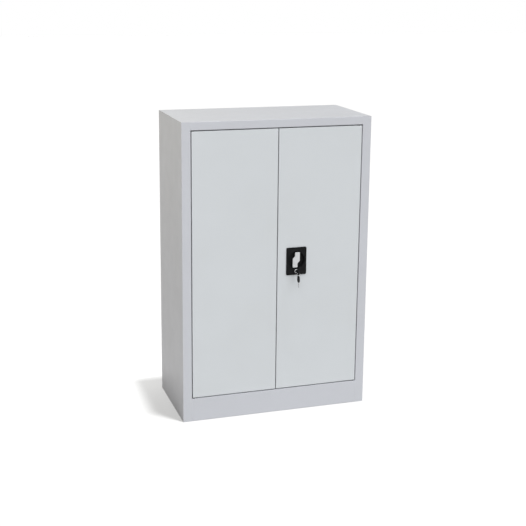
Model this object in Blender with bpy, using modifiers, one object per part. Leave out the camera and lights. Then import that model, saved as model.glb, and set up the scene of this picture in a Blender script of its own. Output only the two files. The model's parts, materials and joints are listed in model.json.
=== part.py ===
"""Two-door metal storage cabinet with a three-point rod lock, adjustable shelves and a folded sheet carcass.

Metres, +Z up, doors towards -Y. The origin is under the middle of the whole object, on the floor.
"""

import math

import bmesh
import bpy
from mathutils import Vector

# Carcass
WIDTH = 0.900
DEPTH = 0.450
HEIGHT = 1.400
SHEET = 0.0008
FOLD_INSIDE = 0.0008
STILE_FACE = 0.042
STILE_RETURN = 0.025
STILE_LIP = 0.012
HEADER_FACE = 0.037
PLINTH_FACE = 0.1105
STOP_LIP = 0.008
HINGE_NOTCH = 0.025
REAR_LIP = 0.015
FLOOR_FLANGE = 0.015
TRAY_EDGE = 0.020

# Clearances
FIT = 0.0003
OVERRUN = 0.004
DOOR_GAP = 0.004
DOOR_END_GAP = 0.005
WELD = 0.00001
SHARP_ANGLE = math.radians(35.0)
EDGE_ANGLE = math.radians(60.0)

# Doors
DOOR_DEPTH = 0.020
DOOR_LIP = 0.020
DOOR_EDGE_BEVEL = 0.0012
HINGE_INSET = 0.006
HINGE_SETBACK = 0.006
STIFFENER_WIDTH = 0.060
STIFFENER_FOOT = 0.012
STIFFENER_SHEET = 0.001
STIFFENER_END_GAP = 0.030

# Pivot pins and bushes
PIN_RADIUS = 0.003
PIN_LENGTH = 0.014
PIN_HEAD_RADIUS = 0.004
PIN_HEAD = 0.0015
PIN_CHAMFER = 0.0005
BUSH_WALL = 0.001
BUSH_LENGTH = 0.009
BUSH_FLANGE_RADIUS = 0.0052

# Slotted uprights
UPRIGHT_SHEET = 0.0012
UPRIGHT_DEPTH = 0.012
UPRIGHT_WEB = 0.026
UPRIGHT_FOOT = 0.008
UPRIGHT_SETBACK = 0.040
SLOT_PITCH = 0.050
SLOT_WIDTH = 0.012
SLOT_HEIGHT = 0.003
SLOT_END_MARGIN = 0.030

# Shelves and their clips
SHELF_ROWS = (6, 12, 18)
SHELF_SHEET = 0.0009
SHELF_EDGE = 0.025
SHELF_LIP = 0.012
CLIP_SHEET = 0.0015
CLIP_WIDTH = 0.010
CLIP_LEDGE = 0.011
CLIP_DROP = 0.014
CLIP_HOOK = 0.005
CLIP_FOLD_INSIDE = 0.0005

# Lock plate with its round recess
LOCK_FROM_EDGE = 0.0906
PLATE_WIDTH = 0.098
PLATE_HEIGHT = 0.131
PLATE_PROUD = 0.0037
PLATE_CORNER = 0.006
PLATE_EDGE = 0.0008
RECESS_RADIUS = 0.040
RECESS_WALL = 0.0015
RECESS_DEPTH = 0.0145
RECESS_RISE = 0.005

# Turning handle
HANDLE_LENGTH = 0.072
HANDLE_WIDTH = 0.0235
HANDLE_OFFSET = 0.011
HANDLE_WAIST = 0.011
HANDLE_STEP = 0.011
HANDLE_THICKNESS = 0.005
HANDLE_CORNER = 0.0025
HANDLE_EDGE = 0.0008
HANDLE_SINK = 0.0005
HUB_RADIUS = 0.010
HUB_SOCKET = 0.006

# Drive behind the lock plate
SPINDLE_SIDE = 0.007
SPINDLE_TAIL = 0.0004
CASE_WIDTH = 0.104
CASE_ABOVE = 0.062
CASE_BELOW = 0.070
CASE_SHEET = 0.0015
CRANK_RADIUS = 0.013
CRANK_PLATE = 0.0025
CRANK_HALF_WIDTH = 0.007
CRANK_PIN_RADIUS = 0.0025
CRANK_PIN_TIP = 0.001

# Locking rods
ROD_WIDTH = 0.012
ROD_THICKNESS = 0.003
ROD_STANDOFF = 0.0016
ROD_HEAD_WIDTH = 0.020
ROD_HEAD_HALF = 0.008
ROD_TIP_CLEAR = 0.002
ROD_CORNER = 0.0015
YOKE_SLACK = 0.0005
GUIDE_SHEET = 0.0012
GUIDE_HEIGHT = 0.008
GUIDE_FOOT = 0.008
GUIDE_PLAY = 0.0004
GUIDE_END_GAP = 0.004

# Cylinder lock
CYLINDER_DROP = 0.053
CYLINDER_RADIUS = 0.008
CYLINDER_FLANGE_RADIUS = 0.009
CYLINDER_FLANGE = 0.0018
CYLINDER_TAIL = 0.0026
NUT_ACROSS_FLATS = 0.022
NUT_THICKNESS = 0.002
PLUG_RADIUS = 0.006
PLUG_PROUD = 0.0004
PLUG_STUB_RADIUS = 0.0028
TONGUE_HUB_RADIUS = 0.0052
TONGUE_REACH = 0.0088
TONGUE_WIDTH = 0.006
TONGUE_THICKNESS = 0.0025
LUG_INNER = 0.006
LUG_ABOVE = 0.007
LUG_HEIGHT = 0.0042
LUG_WIDTH = 0.006

# Keys and ring
BLADE_THICKNESS = 0.002
BLADE_HEIGHT = 0.008
BLADE_IN_LOCK = 0.020
BLADE_SHOWN = 0.007
BLADE_IN_HEAD = 0.006
BITTING_SHARES = (0.18, 0.34, 0.12, 0.28, 0.20)
KEY_HEAD_LENGTH = 0.030
KEY_HEAD_WIDTH = 0.024
KEY_HEAD_THICKNESS = 0.0045
KEY_HEAD_CORNER = 0.009
KEY_HEAD_EDGE = 0.0008
KEY_HOLE_RADIUS = 0.0025
KEY_HOLE_INSET = 0.0065
RING_RADIUS = 0.00935
RING_WIRE = 0.00065

# Left door bolts
BOLT_WIDTH = 0.008
BOLT_LENGTH = 0.090
BOLT_TRAVEL = 0.015
BOLT_KNOB_RADIUS = 0.003
BOLT_KNOB_LENGTH = 0.008
BOLT_FOOT = 0.004
NOTCH_ROOM = 0.003
BRACKET_LENGTH = 0.060

# Round pieces
ROUND_SIDES = 32
SMALL_SIDES = 20
WIRE_SIDES = 8
FOLD_STEPS = 2
CORNER_STEPS = 4

# Places that follow from the sizes
HEAD_OUT = PLATE_PROUD + CYLINDER_FLANGE + PLUG_PROUD + BLADE_SHOWN + KEY_HEAD_LENGTH + FIT * 2
KEY_OUT = HEAD_OUT - KEY_HOLE_INSET + KEY_HEAD_WIDTH / 2
FRONT_Y = (KEY_OUT - DEPTH) / 2
BACK_Y = FRONT_Y + DEPTH
SIDE_X = WIDTH / 2
INSIDE_X = SIDE_X - SHEET
OPENING_X = SIDE_X - STILE_FACE
HEADER_Z = HEIGHT - HEADER_FACE
TOP_UNDERSIDE = HEIGHT - SHEET
DOOR_LOW = PLINTH_FACE + DOOR_END_GAP
DOOR_HIGH = HEADER_Z - DOOR_END_GAP
DOOR_HEIGHT = DOOR_HIGH - DOOR_LOW
DOOR_WIDTH = OPENING_X - DOOR_GAP * 3 / 2
HINGE_X = OPENING_X - DOOR_GAP - HINGE_INSET
HINGE_Y = FRONT_Y + HINGE_SETBACK
DOOR_REAR_Y = FRONT_Y + DOOR_DEPTH
STOP_Y = DOOR_REAR_Y + FIT
FLOOR_TOP = PLINTH_FACE + STOP_LIP
BACK_FACE_Y = BACK_Y - SHEET - FIT
UPRIGHT_LOW = FLOOR_TOP + FIT
UPRIGHT_HIGH = TOP_UNDERSIDE - FIT
UPRIGHT_WIDTH = UPRIGHT_WEB + UPRIGHT_FOOT * 2
UPRIGHT_FRONT_Y = FRONT_Y + UPRIGHT_SETBACK + UPRIGHT_WIDTH / 2
UPRIGHT_REAR_Y = BACK_FACE_Y - SHEET - FIT - UPRIGHT_WIDTH / 2
FOOT_X = INSIDE_X - FIT
WEB_X = FOOT_X - UPRIGHT_DEPTH
FIRST_SLOT = SLOT_END_MARGIN
SLOT_COUNT = int((UPRIGHT_HIGH - UPRIGHT_LOW - SLOT_END_MARGIN * 2) / SLOT_PITCH) + 1
CLIP_PLATE_X = WEB_X - FIT - CLIP_SHEET
SHELF_X = CLIP_PLATE_X - FIT
SHELF_FRONT_Y = FRONT_Y + UPRIGHT_SETBACK
SHELF_REAR_Y = BACK_FACE_Y - SHEET - UPRIGHT_FOOT
LOCK_X = DOOR_GAP / 2 + LOCK_FROM_EDGE
PLATE_Z = (DOOR_LOW + DOOR_HIGH) / 2
PLATE_FRONT_Y = FRONT_Y - FIT - PLATE_PROUD
HANDLE_Z = PLATE_Z + RECESS_RISE
CYLINDER_Z = HANDLE_Z - CYLINDER_DROP
RECESS_FLOOR_Y = PLATE_FRONT_Y + RECESS_DEPTH
CUP_BACK_Y = RECESS_FLOOR_Y + RECESS_WALL
CASE_BACK_Y = CUP_BACK_Y + FIT + CASE_SHEET
ROD_FRONT_Y = DOOR_REAR_Y + ROD_STANDOFF
ROD_BACK_Y = ROD_FRONT_Y + ROD_THICKNESS
CRANK_BACK_Y = DOOR_REAR_Y - FIT
CRANK_FRONT_Y = CRANK_BACK_Y - CRANK_PLATE
CRANK_REST = math.pi / 4
PIN_OFFSET = CRANK_RADIUS * math.cos(CRANK_REST)
ROD_OFFSET = (CRANK_RADIUS + PIN_OFFSET) / 2
YOKE_HALF_HEIGHT = CRANK_PIN_RADIUS + YOKE_SLACK
YOKE_HALF_WIDTH = (CRANK_RADIUS - PIN_OFFSET) / 2 + CRANK_PIN_RADIUS + YOKE_SLACK
HEADER_LIP_LOW = HEADER_Z - STOP_LIP
ROD_REST_HIGH = HEADER_LIP_LOW - ROD_TIP_CLEAR
ROD_REST_LOW = FLOOR_TOP + ROD_TIP_CLEAR
FLANGE_FRONT_Y = PLATE_FRONT_Y - FIT - CYLINDER_FLANGE
PLUG_FACE_Y = FLANGE_FRONT_Y - PLUG_PROUD
HEAD_BACK_Y = PLUG_FACE_Y - BLADE_SHOWN
HEAD_FRONT_Y = HEAD_BACK_Y - KEY_HEAD_LENGTH
RING_Y = HEAD_FRONT_Y + KEY_HOLE_INSET
RING_TOP_Z = CYLINDER_Z - KEY_HOLE_RADIUS + RING_WIRE + FIT
RING_CENTRE_Z = RING_TOP_Z - RING_RADIUS
RING_LOW_Z = RING_CENTRE_Z - RING_RADIUS
SPARE_HOLE_Z = RING_LOW_Z + RING_WIRE + FIT - KEY_HOLE_RADIUS
BOLT_X = -DOOR_GAP / 2 - DOOR_LIP / 2
LEDGE_DROP = CLIP_DROP - CLIP_SHEET / 2
HOLE_AT = BLADE_SHOWN + KEY_HEAD_LENGTH - KEY_HOLE_INSET
SPINDLE_HOLE = SPINDLE_SIDE / math.sqrt(2) + FIT

parts = bpy.data.collections.new("metal_storage_cabinet")
cutters = bpy.data.collections.new("cutters")

PLANES = {
    "X": (Vector((1, 0, 0)), Vector((0, 1, 0)), Vector((0, 0, 1))),
    "Y": (Vector((0, 1, 0)), Vector((1, 0, 0)), Vector((0, 0, 1))),
    "Z": (Vector((0, 0, 1)), Vector((1, 0, 0)), Vector((0, 1, 0))),
}
HALF_TURN = math.pi
QUARTER_TURN = math.pi / 2
FACING_FRONT = (QUARTER_TURN, 0, 0)
EDGE_ON = (QUARTER_TURN, 0, QUARTER_TURN)
HANGING_DOWN = (0, QUARTER_TURN, 0)


def paint(name, colour, roughness, metallic):
    """A Principled material with one colour."""
    material = bpy.data.materials.new(name)
    material.use_nodes = True
    shader = material.node_tree.nodes["Principled BSDF"]
    shader.inputs["Base Color"].default_value = (*colour, 1)
    shader.inputs["Roughness"].default_value = roughness
    shader.inputs["Metallic"].default_value = metallic
    return material


FINISHES = {
    "frame_paint": ((0.55, 0.56, 0.60), 0.45, 0),
    "door_paint": ((0.62, 0.65, 0.67), 0.42, 0),
    "inside_paint": ((0.58, 0.60, 0.63), 0.45, 0),
    "zinc_steel": ((0.62, 0.63, 0.64), 0.35, 1),
    "black_plastic": ((0.012, 0.012, 0.013), 0.38, 0),
    "chrome": ((0.72, 0.72, 0.73), 0.18, 1),
    "nylon": ((0.80, 0.80, 0.77), 0.5, 0),
    "key_steel": ((0.66, 0.65, 0.62), 0.28, 1),
}


def world_place(obj):
    """Where an object stands, summed up its chain of carriers, none of which is turned."""
    spot = Vector(obj.location)
    while obj.parent:
        obj = obj.parent
        spot += obj.location
    return spot


def carry(obj, spot, carrier):
    """Places an object at a spot in the world and hangs it on the empty that carries it."""
    obj.location = spot
    if carrier:
        obj.parent = carrier
        obj.location = Vector(spot) - world_place(carrier)


def pivot(name, spot, carrier=None):
    """An empty on a joint's axis."""
    empty = bpy.data.objects.new(name, None)
    parts.objects.link(empty)
    carry(empty, spot, carrier)
    return empty


def add_part(name, mesh, finish, spot=(0, 0, 0), turn=(0, 0, 0), carrier=None):
    """A named sub-part with its own material. A mesh that is used again keeps its first material's slot."""
    obj = bpy.data.objects.new(name, mesh)
    parts.objects.link(obj)
    if not mesh.materials:
        mesh.materials.append(None)
    obj.material_slots[0].link = "OBJECT"
    obj.material_slots[0].material = paint(name + "_" + finish, *FINISHES[finish])
    obj.rotation_euler = turn
    carry(obj, spot, carrier)
    return obj


def boolean(obj, mesh, spot, turn=(0, 0, 0), operation="DIFFERENCE"):
    """Cuts a mesh out of a sub-part, or joins it on. The tool moves with the sub-part's carrier."""
    tool = bpy.data.objects.new(obj.name + "_tool", mesh)
    cutters.objects.link(tool)
    tool.hide_render = True
    tool.display_type = "WIRE"
    tool.rotation_euler = turn
    carry(tool, spot, obj.parent)
    step = obj.modifiers.new("shape", "BOOLEAN")
    step.operation = operation
    step.solver = "EXACT"
    step.object = tool


def settle(obj):
    """The mesh that an object's modifiers or curve make, welded and shaded, in place of the object."""
    bpy.context.view_layer.update()
    graph = bpy.context.evaluated_depsgraph_get()
    mesh = bpy.data.meshes.new_from_object(obj.evaluated_get(graph))
    work = bmesh.new()
    work.from_mesh(mesh)
    bmesh.ops.remove_doubles(work, verts=work.verts, dist=WELD)
    work.to_mesh(mesh)
    work.free()
    mesh.shade_smooth()
    mesh.set_sharp_from_angle(angle=SHARP_ANGLE)
    bpy.data.objects.remove(obj)
    return mesh


def scratch(mesh):
    """An object that only holds a mesh or a curve while its shape is worked out."""
    obj = bpy.data.objects.new("scratch", mesh)
    bpy.context.scene.collection.objects.link(obj)
    return obj


def from_bmesh(work):
    mesh = bpy.data.meshes.new("shape")
    work.to_mesh(mesh)
    work.free()
    return mesh


def block(size):
    """A box about its own middle."""
    work = bmesh.new()
    bmesh.ops.create_cube(work, size=1)
    bmesh.ops.scale(work, verts=work.verts, vec=size)
    return from_bmesh(work)


def rod_of(radius, length, sides=SMALL_SIDES):
    """A round bar about its own middle, along Z."""
    work = bmesh.new()
    bmesh.ops.create_cone(
        work, cap_ends=True, segments=sides, radius1=radius, radius2=radius, depth=length
    )
    mesh = from_bmesh(work)
    mesh.shade_smooth()
    mesh.set_sharp_from_angle(angle=SHARP_ANGLE)
    return mesh


def between(low, high):
    """The size and the middle of the box between two corners."""
    size = [top - bottom for bottom, top in zip(low, high)]
    middle = [(top + bottom) / 2 for bottom, top in zip(low, high)]
    return size, middle


def turned(profile, closed=False, sides=SMALL_SIDES):
    """A profile of (radius, height) points, running down its outer side, turned about Z."""
    work = bmesh.new()
    points = [work.verts.new((radius, 0, height)) for radius, height in profile]
    for upper, lower in zip(points, points[1:]):
        work.edges.new((upper, lower))
    if closed:
        work.edges.new((points[-1], points[0]))
    obj = scratch(from_bmesh(work))
    screw = obj.modifiers.new("turn", "SCREW")
    screw.steps = sides
    screw.render_steps = sides
    screw.use_merge_vertices = True
    screw.merge_threshold = WELD
    return settle(obj)


def corner_arc(before, corner, after, radius, steps):
    """The points of the arc that rounds one corner of an outline."""
    back = (before - corner).normalized()
    ahead = (after - corner).normalized()
    half = back.angle(ahead) / 2
    centre = corner + (back + ahead).normalized() * radius / math.sin(half)
    first = corner + back * radius / math.tan(half) - centre
    sweep = (HALF_TURN - half * 2) * (1 if back.cross(ahead) < 0 else -1)
    turns = [sweep * step / steps for step in range(steps + 1)]
    return [
        centre + Vector((first.x * math.cos(t) - first.y * math.sin(t),
                         first.x * math.sin(t) + first.y * math.cos(t)))
        for t in turns
    ]


def folded(path, sheet, inside):
    """An open path with its folds rounded. The sheet lies on its left, so a left fold is the wider arc."""
    points = [Vector(point) for point in path]
    found = [points[0]]
    for before, corner, after in zip(points, points[1:], points[2:]):
        left = (corner - before).cross(after - corner) > 0
        radius = inside + sheet if left else inside
        found += corner_arc(before, corner, after, radius, FOLD_STEPS)
    return found + [points[-1]]


def folded_sheet(path, plane, start, end, sheet=SHEET, inside=FOLD_INSIDE, flange=None):
    """Sheet metal folded along a path in a plane and running from start to end across it."""
    axis, across, up = PLANES[plane]
    work = bmesh.new()
    points = folded(path, sheet, inside)
    row = [work.verts.new(across * p.x + up * p.y + axis * start) for p in points]
    edges = [work.edges.new(pair) for pair in zip(row, row[1:])]
    grown = bmesh.ops.extrude_edge_only(work, edges=edges)["geom"]
    moved = [item for item in grown if isinstance(item, bmesh.types.BMVert)]
    bmesh.ops.translate(work, verts=moved, vec=axis * (end - start))
    run = points[1] - points[0]
    left = up * run.x - across * run.y
    work.faces.ensure_lookup_table()
    work.normal_update()
    first = min(work.faces, key=lambda face: min((v.co - row[0].co).length for v in face.verts))
    if first.normal.dot(left) < 0:
        bmesh.ops.reverse_faces(work, faces=work.faces)
    if flange:
        flange(work)
    return thicken(from_bmesh(work), sheet)


def thicken(mesh, sheet, offset=1):
    """An open surface given its sheet's thickness."""
    obj = scratch(mesh)
    solid = obj.modifiers.new("sheet", "SOLIDIFY")
    solid.thickness = sheet
    solid.offset = offset
    solid.use_even_offset = True
    return settle(obj)


def tray(size, open_side, lip, sheet=SHEET, bevel=DOOR_EDGE_BEVEL):
    """A folded pan about its own middle, open on one side, with lips turned in round the opening."""
    work = bmesh.new()
    bmesh.ops.create_cube(work, size=1)
    bmesh.ops.scale(work, verts=work.verts, vec=size)
    work.normal_update()
    mouth = [face for face in work.faces if face.normal.dot(Vector(open_side)) > 0.5]
    if lip:
        bmesh.ops.inset_region(work, faces=mouth, thickness=lip)
    bmesh.ops.delete(work, geom=mouth, context="FACES_ONLY")
    folds = [edge for edge in work.edges if len(edge.link_faces) == 2]
    sharp = [edge for edge in folds if edge.calc_face_angle() > SHARP_ANGLE]
    bmesh.ops.bevel(
        work, geom=sharp, offset=bevel, segments=FOLD_STEPS, affect="EDGES", profile=0.5
    )
    return thicken(from_bmesh(work), sheet, offset=-1)


def rounded_outline(points, radius, steps=CORNER_STEPS):
    """A closed outline with every corner rounded."""
    corners = [Vector(point) for point in points]
    found = []
    for index, corner in enumerate(corners):
        before = corners[index - 1]
        after = corners[(index + 1) % len(corners)]
        found += corner_arc(before, corner, after, radius, steps)
    return found


def rectangle(width, height, radius):
    """A rounded rectangle about its own middle."""
    w = width / 2
    h = height / 2
    return rounded_outline(((-w, -h), (w, -h), (w, h), (-w, h)), radius)


def circle(radius, middle=(0, 0), sides=SMALL_SIDES):
    """A closed round outline."""
    turns = [HALF_TURN * 2 * step / sides for step in range(sides)]
    return [(middle[0] + radius * math.cos(t), middle[1] + radius * math.sin(t)) for t in turns]


def spun(points, angle):
    """An outline turned about its origin."""
    c = math.cos(angle)
    s = math.sin(angle)
    return [(x * c - y * s, x * s + y * c) for x, y in points]


def plate(outline, thickness, bevel=0, holes=()):
    """A flat outline in X and Y with holes through it, as thick as asked along Z."""
    curve = bpy.data.curves.new("outline", "CURVE")
    curve.dimensions = "2D"
    curve.fill_mode = "BOTH"
    curve.extrude = thickness / 2
    for loop in (outline, *holes):
        line = curve.splines.new("POLY")
        line.points.add(len(loop) - 1)
        for point, spot in zip(line.points, loop):
            point.co = (spot[0], spot[1], 0, 1)
        line.use_cyclic_u = True
    mesh = settle(scratch(curve))
    if not bevel:
        return mesh
    obj = scratch(mesh)
    edge = obj.modifiers.new("edge", "BEVEL")
    edge.width = bevel
    edge.segments = 1
    edge.limit_method = "ANGLE"
    edge.angle_limit = EDGE_ANGLE
    return settle(obj)


def mirrored(path):
    """The same path on the other side of the middle, run backwards so that its left stays its left."""
    return [(-x, y) for x, y in reversed(path)]


def both_sides(low, high):
    """A box and its mirror image across the middle of the cabinet, as sizes and middles."""
    size, middle = between(low, high)
    return [(size, middle), (size, [-middle[0], middle[1], middle[2]])]


def cut_both_sides(obj, low, high):
    for size, middle in both_sides(low, high):
        boolean(obj, block(size), middle)


def side_panels():
    """Side, rear lip, front stile with its return and lip, and a bottom flange, all one folded sheet."""
    path = [
        (-SIDE_X + REAR_LIP, BACK_Y),
        (-SIDE_X, BACK_Y),
        (-SIDE_X, FRONT_Y),
        (-OPENING_X, FRONT_Y),
        (-OPENING_X, FRONT_Y + STILE_RETURN),
        (-OPENING_X - STILE_LIP, FRONT_Y + STILE_RETURN),
    ]
    for name, inward, route in (
        ("left_side_panel", 1, path),
        ("right_side_panel", -1, mirrored(path)),
    ):
        def bottom_flange(work, inward=inward):
            low = [edge for edge in work.edges
                   if all(abs(v.co.z) < WELD and abs(abs(v.co.x) - SIDE_X) < WELD for v in edge.verts)]
            long = max(low, key=lambda edge: edge.calc_length())
            grown = bmesh.ops.extrude_edge_only(work, edges=[long])["geom"]
            moved = [item for item in grown if isinstance(item, bmesh.types.BMVert)]
            bmesh.ops.translate(work, verts=moved, vec=(inward * FLOOR_FLANGE, 0, 0))

        mesh = folded_sheet(route, "Z", 0, TOP_UNDERSIDE - FIT, flange=bottom_flange)
        add_part(name, mesh, "frame_paint")


def cut_hinge_end(obj, flange_z, low, high):
    """Clears the stop lip beside each hinge and drills the hole for each pivot pin."""
    fold = SHEET + FOLD_INSIDE
    cut_both_sides(
        obj,
        (OPENING_X - HINGE_NOTCH, STOP_Y - fold, low),
        (OPENING_X + OVERRUN, STOP_Y + SHEET + OVERRUN, high),
    )
    for side in (-1, 1):
        boolean(obj, rod_of(PIN_RADIUS + FIT, OVERRUN * 2), (side * HINGE_X, HINGE_Y, flange_z))


def top_panel():
    """Top sheet with its rear flange, and the header over the doors with its return and stop lip."""
    path = [
        (BACK_Y, HEIGHT - REAR_LIP),
        (BACK_Y, HEIGHT),
        (FRONT_Y, HEIGHT),
        (FRONT_Y, HEADER_Z),
        (STOP_Y, HEADER_Z),
        (STOP_Y, HEADER_LIP_LOW),
    ]
    top = add_part("top_panel", folded_sheet(path, "X", -SIDE_X, SIDE_X), "frame_paint")
    cut_both_sides(
        top,
        (OPENING_X - FIT, FRONT_Y - OVERRUN, HEADER_LIP_LOW - OVERRUN),
        (SIDE_X + OVERRUN, STOP_Y + SHEET + OVERRUN, TOP_UNDERSIDE),
    )
    cut_both_sides(
        top,
        (SIDE_X - REAR_LIP - FIT, BACK_Y - SHEET - OVERRUN, HEIGHT - REAR_LIP - OVERRUN),
        (SIDE_X + OVERRUN, BACK_Y + OVERRUN, TOP_UNDERSIDE),
    )
    cut_hinge_end(top, HEADER_Z + SHEET / 2, HEADER_LIP_LOW - OVERRUN, HEADER_Z + SHEET + OVERRUN)


def plinth_panel():
    """Kick plate between the stiles, with its top flange and stop lip, and a flange on the floor."""
    path = [
        (STOP_Y, FLOOR_TOP),
        (STOP_Y, PLINTH_FACE),
        (FRONT_Y, PLINTH_FACE),
        (FRONT_Y, 0),
        (FRONT_Y + FLOOR_FLANGE, 0),
    ]
    half = OPENING_X - FIT
    plinth = add_part("plinth_panel", folded_sheet(path, "X", -half, half), "frame_paint")
    cut_hinge_end(plinth, PLINTH_FACE - SHEET / 2, PLINTH_FACE - SHEET - OVERRUN, FLOOR_TOP + OVERRUN)


def floor_panel():
    """Bottom tray, notched round the stiles and where the rod and the bolt go down."""
    size, middle = between(
        (-INSIDE_X + FIT, STOP_Y + SHEET + FIT, FLOOR_TOP - TRAY_EDGE),
        (INSIDE_X - FIT, BACK_FACE_Y - SHEET - FIT, FLOOR_TOP),
    )
    floor = add_part("floor_panel", tray(size, (0, 0, -1), 0), "inside_paint", middle)
    below = FLOOR_TOP - TRAY_EDGE - OVERRUN
    cut_both_sides(
        floor,
        (OPENING_X - FIT, FRONT_Y, below),
        (SIDE_X + OVERRUN, FRONT_Y + STILE_RETURN + FIT, FLOOR_TOP + OVERRUN),
    )
    for middle_x, width in ((LOCK_X + ROD_OFFSET, ROD_WIDTH), (BOLT_X, BOLT_WIDTH)):
        size, middle = between(
            (middle_x - width / 2 - NOTCH_ROOM, FRONT_Y, below),
            (middle_x + width / 2 + NOTCH_ROOM, ROD_BACK_Y + NOTCH_ROOM, FLOOR_TOP + OVERRUN),
        )
        boolean(floor, block(size), middle)


def back_panel():
    """Plain sheet between the rear lips and the rear uprights."""
    half = INSIDE_X - FOLD_INSIDE
    face = BACK_FACE_Y - SHEET
    path = [(-half, face), (half, face)]
    mesh = folded_sheet(path, "Z", SHEET + FIT, TOP_UNDERSIDE - FIT)
    add_part("back_panel", mesh, "inside_paint")


def uprights():
    """Four hat-section posts with a row of slots in the web."""
    edge = UPRIGHT_WIDTH / 2
    leg = UPRIGHT_WEB / 2
    rise = UPRIGHT_DEPTH - UPRIGHT_SHEET
    path = [(0, edge), (0, leg), (rise, leg), (rise, -leg), (0, -leg), (0, -edge)]
    post = scratch(folded_sheet(path, "Z", 0, UPRIGHT_HIGH - UPRIGHT_LOW, UPRIGHT_SHEET))
    work = bmesh.new()
    for row in range(SLOT_COUNT):
        slot = bmesh.ops.create_cube(work, size=1)["verts"]
        bmesh.ops.scale(work, verts=slot, vec=(UPRIGHT_SHEET + OVERRUN, SLOT_WIDTH, SLOT_HEIGHT))
        bmesh.ops.translate(work, verts=slot, vec=(0, 0, FIRST_SLOT + row * SLOT_PITCH))
    boolean(post, from_bmesh(work), (rise + UPRIGHT_SHEET / 2, 0, 0))
    mesh = settle(post)
    for name, side, y in (
        ("upright_front_left", -1, UPRIGHT_FRONT_Y),
        ("upright_front_right", 1, UPRIGHT_FRONT_Y),
        ("upright_rear_left", -1, UPRIGHT_REAR_Y),
        ("upright_rear_right", 1, UPRIGHT_REAR_Y),
    ):
        turn = (0, 0, HALF_TURN if side > 0 else 0)
        add_part(name, mesh, "inside_paint", (side * FOOT_X, y, UPRIGHT_LOW), turn)


def clip_mesh():
    """Hooked clip: a ledge, a plate against the post's web, a tab through the slot and a hook behind it."""
    top = CLIP_SHEET / 2
    face = FIT + CLIP_SHEET
    behind = -UPRIGHT_SHEET - FIT - CLIP_SHEET
    path = [
        (face + CLIP_LEDGE, top - CLIP_DROP),
        (face, top - CLIP_DROP),
        (face, top),
        (behind, top),
        (behind, top - CLIP_HOOK),
    ]
    return folded_sheet(
        path, "Y", -CLIP_WIDTH / 2, CLIP_WIDTH / 2, CLIP_SHEET, CLIP_FOLD_INSIDE
    )


def shelves():
    """Three folded trays, each on four clips hooked into the uprights."""
    size, middle = between(
        (-SHELF_X, SHELF_FRONT_Y, 0), (SHELF_X, SHELF_REAR_Y, SHELF_EDGE)
    )
    mesh = tray(size, (0, 0, -1), SHELF_LIP, SHELF_SHEET)
    clip = clip_mesh()
    for level, row in zip(("lower", "middle", "upper"), SHELF_ROWS):
        slot_z = UPRIGHT_LOW + FIRST_SLOT + row * SLOT_PITCH
        low = slot_z - LEDGE_DROP + FIT
        add_part("shelf_" + level, mesh, "inside_paint", (0, middle[1], low + middle[2]))
        for end, y in (("front", UPRIGHT_FRONT_Y), ("rear", UPRIGHT_REAR_Y)):
            for side, name, turn in ((-1, "left", 0), (1, "right", HALF_TURN)):
                add_part(
                    "clip_" + level + "_" + end + "_" + name,
                    clip,
                    "zinc_steel",
                    (side * WEB_X, y, slot_z),
                    (0, 0, turn),
                )


def pivot_pins():
    """Headed pins riveted through the header and the plinth, on the two door axes."""
    mesh = turned([
        (0, PIN_HEAD),
        (PIN_HEAD_RADIUS, PIN_HEAD),
        (PIN_HEAD_RADIUS, 0),
        (PIN_RADIUS, 0),
        (PIN_RADIUS, PIN_CHAMFER - PIN_LENGTH),
        (PIN_RADIUS - PIN_CHAMFER, -PIN_LENGTH),
        (0, -PIN_LENGTH),
    ])
    for end, z, turn in (
        ("upper", HEADER_Z + SHEET + FIT, 0),
        ("lower", PLINTH_FACE - SHEET - FIT, HALF_TURN),
    ):
        for name, side in (("left", -1), ("right", 1)):
            add_part(
                "pivot_pin_" + end + "_" + name,
                mesh,
                "zinc_steel",
                (side * HINGE_X, HINGE_Y, z),
                (turn, 0, 0),
            )


def door_leaves(doors):
    """Two folded pans, each with a stiffener behind its face and a bush at each end of its axis."""
    size = (DOOR_WIDTH, DOOR_DEPTH, DOOR_HEIGHT)
    leaf_mesh = tray(size, (0, 1, 0), DOOR_LIP)
    half = STIFFENER_WIDTH / 2
    rise = DOOR_DEPTH - SHEET - FIT * 2 - STIFFENER_SHEET
    hat = [
        (-half - STIFFENER_FOOT, 0),
        (-half, 0),
        (-half, rise),
        (half, rise),
        (half, 0),
        (half + STIFFENER_FOOT, 0),
    ]
    length = DOOR_HEIGHT - STIFFENER_END_GAP * 2
    hat_mesh = folded_sheet(hat, "Z", -length / 2, length / 2, STIFFENER_SHEET)
    bore = PIN_RADIUS + FIT
    sleeve = bore + BUSH_WALL
    bush_mesh = turned(
        [
            (BUSH_FLANGE_RADIUS, DOOR_END_GAP - FIT),
            (BUSH_FLANGE_RADIUS, FIT),
            (sleeve, FIT),
            (sleeve, -BUSH_LENGTH),
            (bore, -BUSH_LENGTH),
            (bore, DOOR_END_GAP - FIT),
        ],
        closed=True,
    )
    leaves = []
    for name, side, door in (("left", -1, doors[0]), ("right", 1, doors[1])):
        x = side * (DOOR_GAP + DOOR_WIDTH) / 2
        y = FRONT_Y + DOOR_DEPTH / 2
        leaf = add_part(name + "_door_leaf", leaf_mesh, "door_paint", (x, y, PLATE_Z), carrier=door)
        add_part(
            name + "_door_stiffener",
            hat_mesh,
            "door_paint",
            (x, FRONT_Y + SHEET + FIT, PLATE_Z),
            carrier=door,
        )
        for end, z, turn in (("upper", DOOR_HIGH, 0), ("lower", DOOR_LOW, HALF_TURN)):
            spot = (side * HINGE_X, HINGE_Y, z)
            boolean(leaf, rod_of(sleeve + FIT, OVERRUN), spot)
            add_part(name + "_bush_" + end, bush_mesh, "nylon", spot, (turn, 0, 0), door)
        leaves.append(leaf)
    return leaves


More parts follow.
